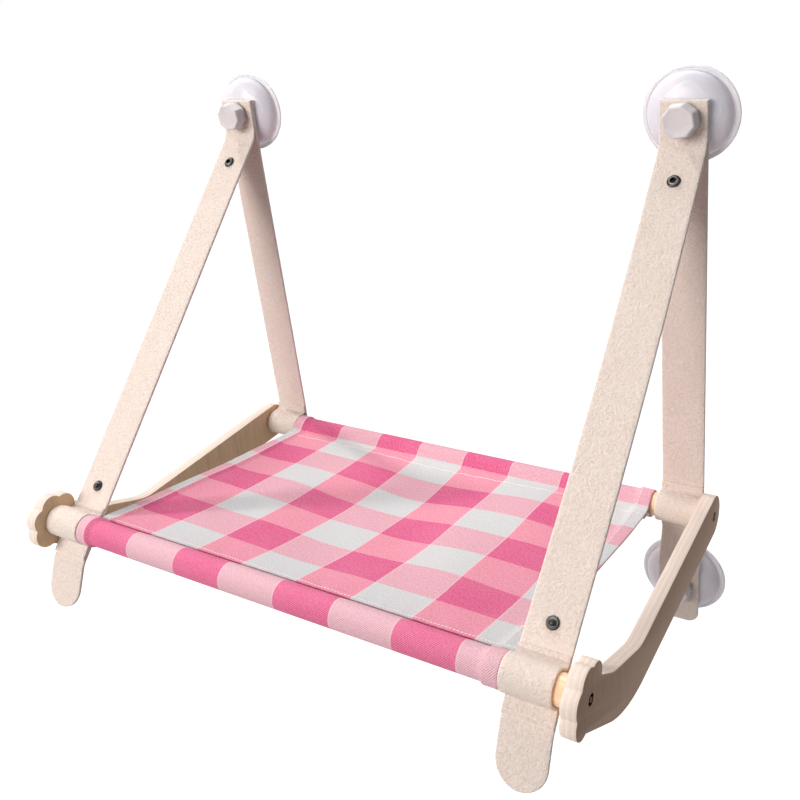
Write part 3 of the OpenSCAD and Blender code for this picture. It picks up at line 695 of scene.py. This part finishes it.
# The span of radii on the snaps' profiles that gets the painted highlight.
HIGHLIGHT_FROM, HIGHLIGHT_TO = 0.0026, 0.0042
socket_profile = [(0.0, -0.0014), (0.0020, -0.0014), (0.0023, -0.0010), (0.0023, 0.0010), (0.0023, 0.0018)]
socket_profile += [(0.0025, 0.00225), (0.0030, 0.0024), (0.0036, 0.0023), (0.0040, 0.0018), (0.0043, 0.0013)]
socket_profile += [(0.0048, 0.0012), (0.0053, 0.0009), (0.0055, 0.0004), (0.0054, 0.0), (0.0, 0.0)]
stud_profile = [(0.0, 0.0036), (0.0010, 0.0035), (0.0019, 0.0031), (0.00245, 0.0024), (0.0024, 0.0017)]
stud_profile += [(0.0021, 0.0013), (0.0024, 0.0010), (0.0032, 0.0010), (0.0036, 0.0014), (0.0042, 0.0015)]
stud_profile += [(0.0047, 0.0012), (0.0050, 0.0006), (0.0049, 0.0), (0.0, 0.0)]
cap_profile = [(0.0, 0.0), (0.0051, 0.0), (0.00525, 0.0003), (0.0049, 0.0009)]
cap_profile += [(0.0038, 0.0013), (0.0, 0.0014)]
front_out = Vector((0.0, face[0], face[1]))
SNAP_TOP = SOCKET_BELOW_CUP - CLAMP_FLAT
SNAP_LOW = float((front_touch - front_corner) @ down) - STUD_ABOVE_ROD
for side in SIDES:
    for key, profile, distance, lift, axis, body, nodes in (
        ("socket", socket_profile, SNAP_TOP, SNAP_LIFT, front_out, "window_mount", "snap_socket"),
        ("socket_back", cap_profile, SNAP_TOP, -SNAP_LIFT, -front_out, "window_mount", "snap_socket_cap"),
        ("knob", stud_profile, SNAP_LOW, SNAP_LIFT, front_out, "bed", "snap_stud"),
        ("knob_back", cap_profile, SNAP_LOW, -SNAP_LIFT, -front_out, "bed", "snap_stud_cap"),
    ):
        rings = turned(profile, on_front_strap(side, distance, lift), axis, SNAP_FACETS)
        shine = [float(HIGHLIGHT_FROM < r < HIGHLIGHT_TO) for r, h in profile]
        marks = {"crown_highlight": [value for ring, value in zip(rings, shine) for _ in ring]}
        snap = make_piece(f"snap_{key}_{side}", *skin(rings), gunmetal, crisp=70, marks=marks)
        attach(snap, body)
        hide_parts(f"{nodes}_{side}")

# Side arms.
# Two boards of birch plywood, sawn to a bar with a round rear end and a scalloped lobe at the front. The
# edges are sanded over and lacquered, and the layers of the ply show along them.

ARM_OUTER = 0.265
ARM_BOARD = 0.012
ARM_INNER = ARM_OUTER - ARM_BOARD
ARM_HEIGHT = 0.039
ARM_EDGE = 0.0008
ARM_DIP, ARM_DIP_AT = 0.0065, 0.67
ARM_BELLY, ARM_BELLY_AT = 0.0025, 0.787
PLY_LAYERS = 0.0042
BED_REACH = 0.304
BED_RISE = 0.049
LOBE_RADIUS = 0.025

# The scallops of the lobe, each as (degrees from straight ahead, radius, how far out it reaches).
SCALLOPS = [(138, 0.0115, 0.025), (82, 0.0115, 0.025), (24, 0.0115, 0.025), (-30, 0.0125, 0.0275)]

ply = new_finish("birch_ply", Roughness=0.6, Specular_IOR_Level=0.25, IOR=1.45)
ply_place = object_place(ply)
ply_axes = add_node(ply, "ShaderNodeSeparateXYZ", {"Vector": ply_place})
streaks = grain(ply, stretched(ply, ply_place, 420.0, 26.0, 420.0), 1.0, 5.0, 0.6)
figure = grain(ply, stretched(ply, ply_place, 60.0, 7.0, 90.0), 1.0, 3.0)
face_streaks = grain(ply, stretched(ply, ply_place, 200.0, 150.0, 22.0), 1.0, 4.0, 0.6)
into_board = maths(ply, "ABSOLUTE", ply_axes.outputs["X"])
wavering = maths(ply, "MULTIPLY_ADD", figure, 0.0006, into_board)
layer = maths(ply, "FRACT", maths(ply, "DIVIDE", wavering, PLY_LAYERS))
crossed = ramp(ply, maths(ply, "ABSOLUTE", maths(ply, "SUBTRACT", layer, 0.5)), 0.22, 0.28)
glue = ramp(ply, maths(ply, "ABSOLUTE", maths(ply, "SUBTRACT", layer, 0.25)), 0.0, 0.05, 1.0, 0.0)
long_ply = toned(ply, streaks, 0.3, 0.7, (0.782, 0.653, 0.575), (0.856, 0.745, 0.676))
end_ply = toned(ply, streaks, 0.3, 0.7, (0.681, 0.538, 0.446), (0.782, 0.658, 0.57))
banded = mixed(ply, maths(ply, "MULTIPLY", crossed, 0.55), long_ply, end_ply)
glued = mixed(ply, maths(ply, "MULTIPLY", glue, 0.5), banded, (0.48, 0.31, 0.20))
edge_colour = mixed(ply, ramp(ply, figure, 0.35, 0.75, 0.0, 0.3), glued, (0.80, 0.65, 0.53))
# The veneer faces are painted darker than the edges. The inner face is a golden veneer tone deepened with
# painted shade, and the outer face, darker still, is painted shade.
outer_veneer_painted_shade = toned(ply, face_streaks, 0.3, 0.7, (0.405, 0.244, 0.160), (0.445, 0.274, 0.186))
inner_veneer_and_shade = toned(ply, face_streaks, 0.3, 0.7, (0.66, 0.45, 0.275), (0.78, 0.57, 0.37))
outer_face = ramp(ply, into_board, ARM_OUTER - 0.0005, ARM_OUTER - 0.0002)
inner_face = ramp(ply, into_board, ARM_INNER + 0.0005, ARM_INNER + 0.0002)
with_inner = mixed(ply, inner_face, edge_colour, inner_veneer_and_shade)
feed(ply, "Base Color", mixed(ply, outer_face, with_inner, outer_veneer_painted_shade))
bumped(ply, streaks, 0.00012)


def lobe_reach(angle):
    """Distance from the middle of the lobe to its scalloped edge, in degrees from straight ahead."""
    reach = LOBE_RADIUS * 0.7
    for at, r, out_to in SCALLOPS:
        off = math.radians(angle - at)
        centre = out_to - r
        if math.cos(off) > 0 and abs(centre * math.sin(off)) < r:
            reach = max(reach, centre * math.cos(off) + math.sqrt(r * r - (centre * math.sin(off)) ** 2))
    return reach


def inside(point, outline):
    """Whether a point lies inside a closed outline."""
    x, y = point
    odd = False
    for (x0, y0), (x1, y1) in zip(outline, np.roll(outline, -1, axis=0)):
        if (y0 > y) != (y1 > y) and x < x0 + (y - y0) * (x1 - x0) / (y1 - y0):
            odd = not odd
    return odd


lobe_at = np.array([BED_REACH, BED_RISE])
rear_rise = ARM_DIP * ARM_HEIGHT / 2 / (BED_REACH * ARM_DIP_AT)
bar = rounded_path(
    [
        (*(lobe_at + LOBE_RADIUS * np.array([0.66, -0.62])), 0),
        (BED_REACH * ARM_BELLY_AT, -ARM_HEIGHT / 2 - ARM_BELLY, 0.125),
        (-ARM_HEIGHT / 2, -ARM_HEIGHT / 2, ARM_HEIGHT / 2),
        (-ARM_HEIGHT / 2, ARM_HEIGHT / 2 + rear_rise, ARM_HEIGHT / 2),
        (BED_REACH * ARM_DIP_AT, ARM_HEIGHT / 2 - ARM_DIP, 0.045),
        (BED_REACH * 0.86, BED_RISE * 0.74, 0.060),
        (*(lobe_at + LOBE_RADIUS * np.array([-0.64, 0.28])), 0),
    ],
    step=0.0012,
)
bar_closed = np.vstack([bar, lobe_at])
outline = []
for p in bar:
    offset = p - lobe_at
    if np.linalg.norm(offset) > lobe_reach(math.degrees(math.atan2(offset[1], offset[0]))):
        outline.append(p)
for angle in np.arange(200.0, -95.0, -1.5):
    a = math.radians(angle)
    p = lobe_at + lobe_reach((angle + 180) % 360 - 180) * np.array([math.cos(a), math.sin(a)])
    if not inside(p, bar_closed):
        outline.append(p)
outline = np.array(outline)

for side, sign in SIDES.items():
    board = bmesh.new()
    walls = []
    for x in (ARM_INNER, ARM_OUTER):
        walls.append([board.verts.new((sign * x, REAR_ROD.y - f, REAR_ROD.z + u)) for f, u in outline])
    board.faces.new(walls[0])
    board.faces.new(walls[1][::-1])
    for k in range(len(outline)):
        m = (k + 1) % len(outline)
        board.faces.new((walls[0][m], walls[0][k], walls[1][k], walls[1][m]))
    bmesh.ops.recalc_face_normals(board, faces=board.faces)
    rims = [e for e in board.edges if abs(e.verts[0].co.x - e.verts[1].co.x) < 1e-9]
    rounding = {"offset": ARM_EDGE, "segments": 2, "profile": 0.5, "affect": "EDGES", "clamp_overlap": True}
    bmesh.ops.bevel(board, geom=rims, **rounding)
    arm = finished(bpy.data.meshes.new(f"arm_board_{side}"), board, ply, crisp=38)
    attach(arm, "bed")
    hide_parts(f"side_arm_{side}")

# Rods and arm screws.
# Two turned pine dowels join the arms and carry the sling and the felt loops. A black countersunk wood screw
# goes through each arm into the end of each rod.

ROD_CHAMFER = 0.0006
ROD_FACETS = 64
PILOT_RADIUS, PILOT_DEPTH = 0.0023, 0.033

pine = new_finish("turned_pine", Roughness=0.5, Coat_Weight=0.05, IOR=1.45)
pine_lines = grain(pine, stretched(pine, object_place(pine), 9.0, 260.0, 260.0), 1.0, 4.0)
feed(pine, "Base Color", toned(pine, pine_lines, 0.36, 0.66, (0.79, 0.50, 0.295), (0.92, 0.69, 0.51)))
bumped(pine, pine_lines, 0.0001)
rod_end = [(0.0, ARM_INNER - PILOT_DEPTH), (PILOT_RADIUS, ARM_INNER - PILOT_DEPTH), (PILOT_RADIUS, ARM_INNER)]
rod_end += [(ROD_RADIUS - ROD_CHAMFER, ARM_INNER), (ROD_RADIUS, ARM_INNER - ROD_CHAMFER)]
rod_profile = [(r, -x) for r, x in rod_end]
rod_profile += [(ROD_RADIUS, x) for x in np.linspace(0.002 - ARM_INNER, ARM_INNER - 0.002, 40)]
rod_profile += rod_end[::-1]
for key, at in (("front", FRONT_ROD), ("rear", REAR_ROD)):
    rod = make_piece(f"{key}_dowel", *skin(turned(rod_profile, at, (1, 0, 0), ROD_FACETS)), pine)
    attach(rod, "bed")
    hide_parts(f"{key}_rod")

black_steel = new_finish("black_screw", Metallic=0.9, Roughness=0.45)
phosphate = grain(black_steel, object_place(black_steel), 900.0, 4.0)
feed(black_steel, "Base Color", mixed(black_steel, phosphate, (0.012, 0.012, 0.013), (0.05, 0.05, 0.052)))
for key in ("front_left", "front_right", "rear_left", "rear_right"):
    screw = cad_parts[f"arm_screw_{key}"]
    screw.data.materials.clear()
    screw.data.materials.append(black_steel)

# Sling.
# One length of pink and white gingham twill, hemmed along both sides. Each end is turned back over a rod and
# sewn down, so that it makes a sleeve, and the panel between the sleeves sags a little under its own weight.

CLOTH = 0.0006
SLING_HALF = 0.208
SLING_MIDDLE = -0.0045
SLING_WAIST = 0.001
REAR_SPREAD = 0.0045
SAG_LEFT = 0.0005
SAG_RIGHT = 0.004
SAG_MIDDLE = 0.009
HEM = 0.013
HEM_LIFT = 0.0015
HEM_STEPS_BELOW, HEM_STEPS_ABOVE = 5, 7
RIPPLE, RIPPLE_WIDTH, RIPPLE_CREST = 0.0033, 0.22, 0.1045
PUCKER, PUCKER_WIDTH = 0.0004, 0.021
SLEEVE = ROD_RADIUS + 0.0004
SPAN = math.hypot(BED_REACH, BED_RISE)
SEAM = SLEEVE + 0.0040
FRONT_SEAM = 0.0180
FRONT_RISE = 0.0037
TUCK = 0.0055
TUCK_TURN = 0.00042
LAP = 0.009
LAP_DROP = 0.0017
LAP_GAP = 0.0009
PANEL_STEPS = 110
CHECK_PAIR = 0.106
SLING_STITCH = {"pitch": 0.0032, "length": 0.0026, "radius": 0.00042}
ALONG_BED = np.array([BED_REACH, BED_RISE]) / SPAN

# Rows of checks along the bed and columns across it, measured from the rear rod and from the middle.
CHECKS_AT_REAR = [-0.203, -0.150, -0.099, -0.046, 0.008, 0.061, 0.114, 0.167, 0.220]
CHECKS_AT_FRONT = [-0.2030, -0.150, -0.096, -0.0455, 0.010, 0.064, 0.1185, 0.172, 0.226]
CHECK_ROWS = [-0.070, -0.026, 0.013, 0.052, 0.0895, 0.128, 0.1685, 0.2115, 0.255, 0.296, 0.365, 0.410]


def bow(t):
    """A curve that is 0 at both ends of the panel and 1 in its middle."""
    return 4 * t * (1 - t)


seam_angle = math.acos(SLEEVE / SEAM)
panel = SPAN - SEAM - FRONT_SEAM
half_turn = np.linspace(math.pi / 2, -math.pi / 2, 7)

# Each point of the cloth is (along the bed, above it, share of the panel, share of the hem's lift).
rear_turn = [(SEAM + LAP * (1 - t), -LAP_DROP, LAP * (1 - t) / panel, 1.0) for t in np.linspace(0, 1, 5)]
for t in np.linspace(0, 1, 56):
    a = -seam_angle - (2 * math.pi - 2 * seam_angle) * t
    rear_turn.append((SLEEVE * math.cos(a), SLEEVE * math.sin(a), 0.0, 1.0))
from_tangent = np.array([SLEEVE * math.cos(seam_angle), SLEEVE * math.sin(seam_angle)])
for t in np.linspace(0, 1, 6)[1:-1]:
    rear_turn.append((*(from_tangent * (1 - t) + np.array([SEAM, 0.0]) * t), 0.0, 1.0))

# The front turn is measured back from the front rod: a lip, a tuck under it, then round the rod to the lap.
lip = [(FRONT_SEAM - TUCK_TURN * math.cos(a), FRONT_RISE - TUCK_TURN * (1 - math.sin(a))) for a in half_turn]
under = FRONT_RISE - 3 * TUCK_TURN
turn_at = FRONT_SEAM + TUCK
back_turn = [(turn_at + TUCK_TURN * math.cos(a), under + TUCK_TURN * math.sin(a)) for a in half_turn]
leave = np.array([FRONT_SEAM - 0.0005, under - TUCK_TURN])
lap_start = np.array([FRONT_SEAM, under - TUCK_TURN - LAP_GAP])
top_angle = math.acos(SLEEVE / np.linalg.norm(leave)) + math.atan2(leave[1], leave[0])
low_angle = math.acos(SLEEVE / np.linalg.norm(lap_start)) - math.atan2(lap_start[1], lap_start[0])
top_touch = SLEEVE * np.array([math.cos(top_angle), math.sin(top_angle)])
low_touch = SLEEVE * np.array([math.cos(low_angle), -math.sin(low_angle)])
front_turn = [(*place, 1 - k / 6) for k, place in enumerate(lip)]
front_turn += [(FRONT_SEAM + TUCK * t, FRONT_RISE - 2 * TUCK_TURN, 0.0) for t in (0.25, 0.5, 0.75)]
front_turn += [(*place, 0.0) for place in back_turn]
front_turn += [(FRONT_SEAM + TUCK * t, under - TUCK_TURN, 0.0) for t in (0.7, 0.35)]
front_turn += [(*(leave * (1 - t) + top_touch * t), min(1.0, 2 * t)) for t in np.linspace(0, 1, 12)[:-1]]
for a in np.linspace(top_angle, 2 * math.pi - low_angle, 64):
    front_turn.append((SLEEVE * math.cos(a), SLEEVE * math.sin(a), 1.0))
front_turn += [(*(low_touch * (1 - t) + lap_start * t), 1.0) for t in np.linspace(0, 1, 7)[1:]]
front_turn += [(lap_start[0] + LAP * t, lap_start[1], 1.0) for t in np.linspace(0, 1, 5)[1:]]

cloth_line = rear_turn + [(SEAM + panel * t, FRONT_RISE * t, t, 1.0) for t in np.linspace(0, 1, PANEL_STEPS)]
for back, n, lift in front_turn[1:]:
    cloth_line.append((SPAN - back, n, 1 - max(0.0, back - FRONT_SEAM) / panel, lift))
cloth_line = np.array(cloth_line)
cloth_along = path_length(cloth_line[:, :2])
rear_seam_index = len(rear_turn)
cloth_along += SEAM - cloth_along[rear_seam_index]

# Places across the cloth, each as (share of the half width, hem lift): the hem below, its fold, and the top.
fold = [(-1 + (1 - math.sin(a)) * 0.002, 0.5 - 0.5 * math.cos(a)) for a in np.linspace(0, math.pi, 7)[1:-1]]
hem_share = HEM / SLING_HALF
width_line = [(-1 + hem_share * t, 0.0) for t in np.linspace(1, 0.06, HEM_STEPS_BELOW)] + fold
width_line += [(-1 + hem_share * t, 1.0) for t in np.linspace(0.06, 0.94, HEM_STEPS_ABOVE)]
width_line += [(s, 0.0) for s in np.linspace(-1 + hem_share * 1.07, 1 - hem_share * 1.07, 100)]
hem_line = width_line[: HEM_STEPS_BELOW + len(fold) + HEM_STEPS_ABOVE]
width_line += [(-s, lift) for s, lift in reversed(hem_line)]
width_line = np.array(width_line)
width_flat = path_length(width_line * (SLING_HALF, HEM_LIFT))
width_flat -= width_flat[-1] / 2


def cloth_rows(share):
    """Middle line of the cloth at a share of the half width, with the panel's sag and slack ripples."""
    u, n, t = cloth_line.T[:3]
    at_edge = SAG_LEFT + (SAG_RIGHT - SAG_LEFT) * (share + 1) / 2
    sag = bow(t) * (at_edge + (SAG_MIDDLE - at_edge) * (1 - share * share))
    x = share * SLING_HALF
    crests = (1 + 2 * x) * math.cos(2 * math.pi * (x - RIPPLE_CREST) / RIPPLE_WIDTH)
    ripple = RIPPLE * crests * np.sin(math.pi * t**0.6)
    ripple += 0.0008 * np.sin(2 * math.pi * (x * 6.3 + u * 7.2) + 0.7) * bow(t)
    ripple += 0.0005 * np.sin(2 * math.pi * (x * 11.0 - u * 6.1) + 1.9) * bow(t)
    near_seams = np.exp(-(((bow(t) - 0.12) / 0.12) ** 2)) * (t > 0) * (t < 1)
    pucker = PUCKER * np.sin(2 * math.pi * x / PUCKER_WIDTH + 1.3 * np.sin(x * 60)) * near_seams
    return np.stack([u, n - sag + ripple + pucker], 1)


def cloth_point(share, lift, index=slice(None), above=0.0):
    """Points of the cloth in the whole part's frame, or some of them, lifted off its middle line."""
    rows = cloth_rows(share)
    rows = rows + path_normals(rows) * (lift * HEM_LIFT * cloth_line[:, 3] + above)[:, None]
    spread = max(share, 0.0) * REAR_SPREAD * (1 - cloth_line[:, 2])
    x = SLING_MIDDLE + share * (SLING_HALF - SLING_WAIST * bow(cloth_line[:, 2])) + spread
    y = REAR_ROD.y - rows[:, 0] * ALONG_BED[0] + rows[:, 1] * ALONG_BED[1]
    z = REAR_ROD.z + rows[:, 0] * ALONG_BED[1] + rows[:, 1] * ALONG_BED[0]
    return np.stack([x, y, z], 1)[index]


count_along = len(cloth_line)
grid = np.concatenate([cloth_point(s, lift) for s, lift in width_line])
quads = []
for j in range(len(width_line) - 1):
    for i in range(count_along - 1):
        a = j * count_along + i
        quads.append((a, a + 1, a + count_along + 1, a + count_along))
sling_mesh = bpy.data.meshes.new("gingham_sling")
sling_mesh.from_pydata([tuple(p) for p in grid], [], quads)
checks = sling_mesh.uv_layers.new(name="checks")
weave = sling_mesh.uv_layers.new(name="weave")
corner = np.array([v for q in quads for v in q])
column_of, row_of = corner // count_along, corner % count_along
x_here = SLING_MIDDLE + width_line[column_of, 0] * SLING_HALF
pairs = np.arange(len(CHECKS_AT_REAR)) / 2
forward = np.clip(cloth_along[row_of] / SPAN, 0, 1)
at_rear, at_front = (
    np.interp(x_here, columns_at, pairs) + np.minimum(x_here - columns_at[0], 0) / CHECK_PAIR
    for columns_at in (CHECKS_AT_REAR, CHECKS_AT_FRONT)
)
across = at_rear * (1 - forward) + at_front * forward
along = np.interp(cloth_along[row_of], CHECK_ROWS, np.arange(len(CHECK_ROWS)) / 2 - 0.5)
for uv_map, places in ((checks, (across, along)), (weave, (width_flat[column_of], cloth_along[row_of]))):
    uv_map.data.foreach_set("uv", np.stack(places, 1).astype(np.float32).ravel())
sling = bpy.data.objects.new("gingham_sling", sling_mesh)
bpy.context.scene.collection.objects.link(sling)
thick = sling.modifiers.new("cloth", "SOLIDIFY")
thick.thickness = CLOTH
thick.offset = 0.0
bpy.context.view_layer.update()
solid = bpy.data.meshes.new_from_object(sling.evaluated_get(bpy.context.evaluated_depsgraph_get()))
sling.modifiers.clear()
sling.data = solid
for f in solid.polygons:
    f.use_smooth = True

gingham = new_finish("gingham_twill", Roughness=0.9, Sheen_Weight=0.05, Sheen_Roughness=0.5, IOR=1.3)
check_place = add_node(gingham, "ShaderNodeUVMap", uv_map="checks").outputs["UV"]
check_axes = add_node(gingham, "ShaderNodeSeparateXYZ", {"Vector": check_place}).outputs
weave_place = add_node(gingham, "ShaderNodeUVMap", uv_map="weave").outputs["UV"]
weave_axes = add_node(gingham, "ShaderNodeSeparateXYZ", {"Vector": weave_place}).outputs
in_column = maths(gingham, "LESS_THAN", maths(gingham, "FRACT", check_axes["X"]), 0.5)
in_row = maths(gingham, "LESS_THAN", maths(gingham, "FRACT", check_axes["Y"]), 0.5)
pinks = maths(gingham, "ADD", in_column, in_row)
diagonal = maths(gingham, "MULTIPLY", maths(gingham, "ADD", weave_axes["X"], weave_axes["Y"]), 3400.0)
twill = maths(gingham, "MULTIPLY_ADD", maths(gingham, "SINE", diagonal), 0.5, 0.5)
slub = grain(gingham, weave_place, 900.0, 3.0)
yarns = grain(gingham, stretched(gingham, weave_place, 850.0, 360.0, 1.0), 1.0, 2.0)
thick_yarn = maths(gingham, "MULTIPLY_ADD", yarns, 0.9, -0.45)
# On the front sleeve the twill is drawn stronger, which also makes the sleeve paler: a stronger weave with a
# painted sheen.
sleeve_twill_and_sheen = ramp(gingham, weave_axes["Y"], 0.302, 0.318, 0.45, 0.8)
woven = maths(gingham, "MULTIPLY_ADD", slub, 0.8, maths(gingham, "MULTIPLY", twill, sleeve_twill_and_sheen))
thread_mix = ramp(gingham, maths(gingham, "ADD", woven, thick_yarn), 0.35, 0.95)
pale = mixed(gingham, thread_mix, (0.544, 0.539, 0.548), (0.728, 0.723, 0.719))
half_by_column = mixed(gingham, thread_mix, (0.764, 0.161, 0.272), (0.82, 0.451, 0.511))
half_by_row = mixed(gingham, thread_mix, (0.695, 0.244, 0.336), (0.783, 0.566, 0.599))
half_pink = mixed(gingham, in_row, half_by_column, half_by_row)
full_pink = mixed(gingham, thread_mix, (0.599, 0.0387, 0.171), (0.811, 0.226, 0.369))
light_or_half = mixed(gingham, maths(gingham, "MINIMUM", pinks, 1.0), pale, half_pink)
both_pink = maths(gingham, "MAXIMUM", maths(gingham, "SUBTRACT", pinks, 1.0), 0.0)
checked = mixed(gingham, both_pink, light_or_half, full_pink)
in_stripe = maths(gingham, "FRACT", maths(gingham, "MULTIPLY", check_axes["X"], 2.0))
border = maths(gingham, "ABSOLUTE", maths(gingham, "SUBTRACT", in_stripe, 0.5))
edge_line = ramp(gingham, border, 0.484, 0.492, 0.0, 0.5)
lined = mixed(gingham, edge_line, checked, (0.857, 0.682, 0.71))
tone_cloud = ramp(gingham, grain(gingham, weave_place, 22.0, 3.0), 0.4, 0.7, 0.0, 0.10)
feed(gingham, "Base Color", mixed(gingham, tone_cloud, lined, (0.80, 0.45, 0.52)))
bumped(gingham, thread_mix, 0.0003, 0.9)
solid.materials.clear()
solid.materials.append(gingham)

pink_thread = thread_finish("pale_thread", 0.7, (0.92, 0.80, 0.82), (0.98, 0.92, 0.93))
middle_shares = np.linspace(-0.985, 0.985, 160)
front_seam_index = rear_seam_index + PANEL_STEPS - 1
seams = []
for index in (rear_seam_index + 4, front_seam_index - 1):
    on_hem = [float(abs(s) > 1 - hem_share) for s in middle_shares]
    seams.append([cloth_point(s, lift, index, CLOTH / 2) for s, lift in zip(middle_shares, on_hem)])
for s in (-1 + hem_share * 0.8, 1 - hem_share * 0.8):
    seams.append(cloth_point(s, 1.0, slice(rear_seam_index - 24, front_seam_index), CLOTH / 2))
sling_stitches = sewn("sling_stitches", seams, pink_thread, **SLING_STITCH)
for piece in (sling, sling_stitches):
    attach(piece, "bed")
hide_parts("sling")

# Studio.
# A pale floor far below, a white surround and three lamps: a large soft one in front, a smaller one at the
# upper left and a large one above and behind. The camera stands where the picture was taken from.

FLOOR_LEVEL, FLOOR_HALF = -1.15, 40
WHITE = (1, 1, 1, 1)

scene = bpy.context.scene
scene.view_settings.view_transform = "Standard"


def bare(owner):
    """A world or material with an empty node tree."""
    owner.use_nodes = True
    owner.node_tree.nodes.clear()
    return owner


def plainly_seen(owner):
    """1 for the camera's rays and those of gloss and glass, which see plain white, and 0 for other light."""
    rays = add_node(owner, "ShaderNodeLightPath").outputs
    either = maths(owner, "MAXIMUM", rays["Is Camera Ray"], rays["Is Glossy Ray"])
    return maths(owner, "MAXIMUM", either, rays["Is Transmission Ray"])


def chosen(owner, factor, plain, white):
    """The output of one shader or the other."""
    return add_node(owner, "ShaderNodeMixShader", {0: factor, 1: plain, 2: white}).outputs[0]


world = bare(bpy.data.worlds.new("white_studio"))
scene.world = world
heading = add_node(world, "ShaderNodeTexCoord").outputs["Generated"]
heading_axes = add_node(world, "ShaderNodeSeparateXYZ", {0: heading}).outputs
from_left = ramp(world, heading_axes["X"], -1.0, 1.0, 0.41, 0.165)
glow = add_node(world, "ShaderNodeBackground", {"Color": (0.93, 0.95, 1.0, 1), "Strength": from_left})
white = add_node(world, "ShaderNodeBackground", {"Color": WHITE, "Strength": 1.0})
surround = chosen(world, plainly_seen(world), glow.outputs[0], white.outputs[0])
add_node(world, "ShaderNodeOutputWorld", {"Surface": surround})

pale_floor = bare(bpy.data.materials.new("pale_floor"))
floor_place = add_node(pale_floor, "ShaderNodeNewGeometry").outputs["Position"]
floor_far = add_node(pale_floor, "ShaderNodeVectorMath", {0: floor_place}, operation="LENGTH")
floor_fade = ramp(pale_floor, floor_far.outputs["Value"], 1.5, 4.0, 0.88, 1.0)
floor_white = add_node(pale_floor, "ShaderNodeEmission", {"Color": WHITE, "Strength": floor_fade})
floor_dull = add_node(pale_floor, "ShaderNodeBsdfDiffuse", {"Color": (0.30, 0.30, 0.30, 1)})
floor_plain = add_node(pale_floor, "ShaderNodeBsdfDiffuse", {"Color": (0.52, 0.51, 0.50, 1)})
floor_lit = {0: floor_white.outputs[0], 1: floor_dull.outputs[0]}
floor_sum = add_node(pale_floor, "ShaderNodeAddShader", floor_lit)
floor_look = chosen(pale_floor, plainly_seen(pale_floor), floor_plain.outputs[0], floor_sum.outputs[0])
add_node(pale_floor, "ShaderNodeOutputMaterial", {"Surface": floor_look})
floor_mesh = bpy.data.meshes.new("floor")
floor_square = ((-1, -1), (1, -1), (1, 1), (-1, 1))
floor_corners = [(x * FLOOR_HALF, y * FLOOR_HALF, FLOOR_LEVEL) for x, y in floor_square]
floor_mesh.from_pydata(floor_corners, [], [(0, 1, 2, 3)])
floor_mesh.materials.append(pale_floor)
floor = bpy.data.objects.new("floor", floor_mesh)
scene.collection.objects.link(floor)

AIM = Vector((0.0, -0.17, -0.22))
for key, place, size, watts, colour in (
    ("key_lamp", (-0.9, -2.3, 0.85), 1.6, 60.0, (1.0, 0.97, 0.945)),
    ("left_lamp", (-1.37, 0.32, 1.70), 0.15, 19.0, (1.0, 0.98, 0.96)),
    ("top_lamp", (-0.1, 1.2, 1.7), 2.0, 38.0, (1.0, 0.99, 0.98)),
):
    lamp = bpy.data.lights.new(key, "AREA")
    lamp.shape = "DISK"
    lamp.size = size
    lamp.energy = watts
    lamp.color = colour
    lamp_object = bpy.data.objects.new(key, lamp)
    lamp_object.location = place
    lamp_object.rotation_euler = (AIM - Vector(place)).to_track_quat("-Z", "Y").to_euler()
    scene.collection.objects.link(lamp_object)

# The camera's place and frame were solved from the picture's straight edges and round cups.
CAMERA_AT = (0.446205, -0.762340, 0.141646)
AZIMUTH, ELEVATION, ROLL = (math.radians(a) for a in (32.663, 21.401, -5.467))
level_reach = math.cos(ELEVATION)
back = Vector((math.sin(AZIMUTH) * level_reach, -math.cos(AZIMUTH) * level_reach, math.sin(ELEVATION)))
level_right = Vector((0, 0, 1)).cross(back).normalized()
level_up = back.cross(level_right)
right = level_right * math.cos(ROLL) + level_up * math.sin(ROLL)
up = level_up * math.cos(ROLL) - level_right * math.sin(ROLL)
camera = bpy.data.cameras.new("camera")
camera.sensor_width = 36.0
camera.lens = 42.106
camera.shift_x = -0.02899
camera.shift_y = -0.10172
camera.clip_end = 200.0
camera_object = bpy.data.objects.new("camera", camera)
turned_to = Matrix((right, up, back)).transposed().to_4x4()
camera_object.matrix_world = Matrix.Translation(CAMERA_AT) @ turned_to
scene.collection.objects.link(camera_object)
scene.camera = camera_object
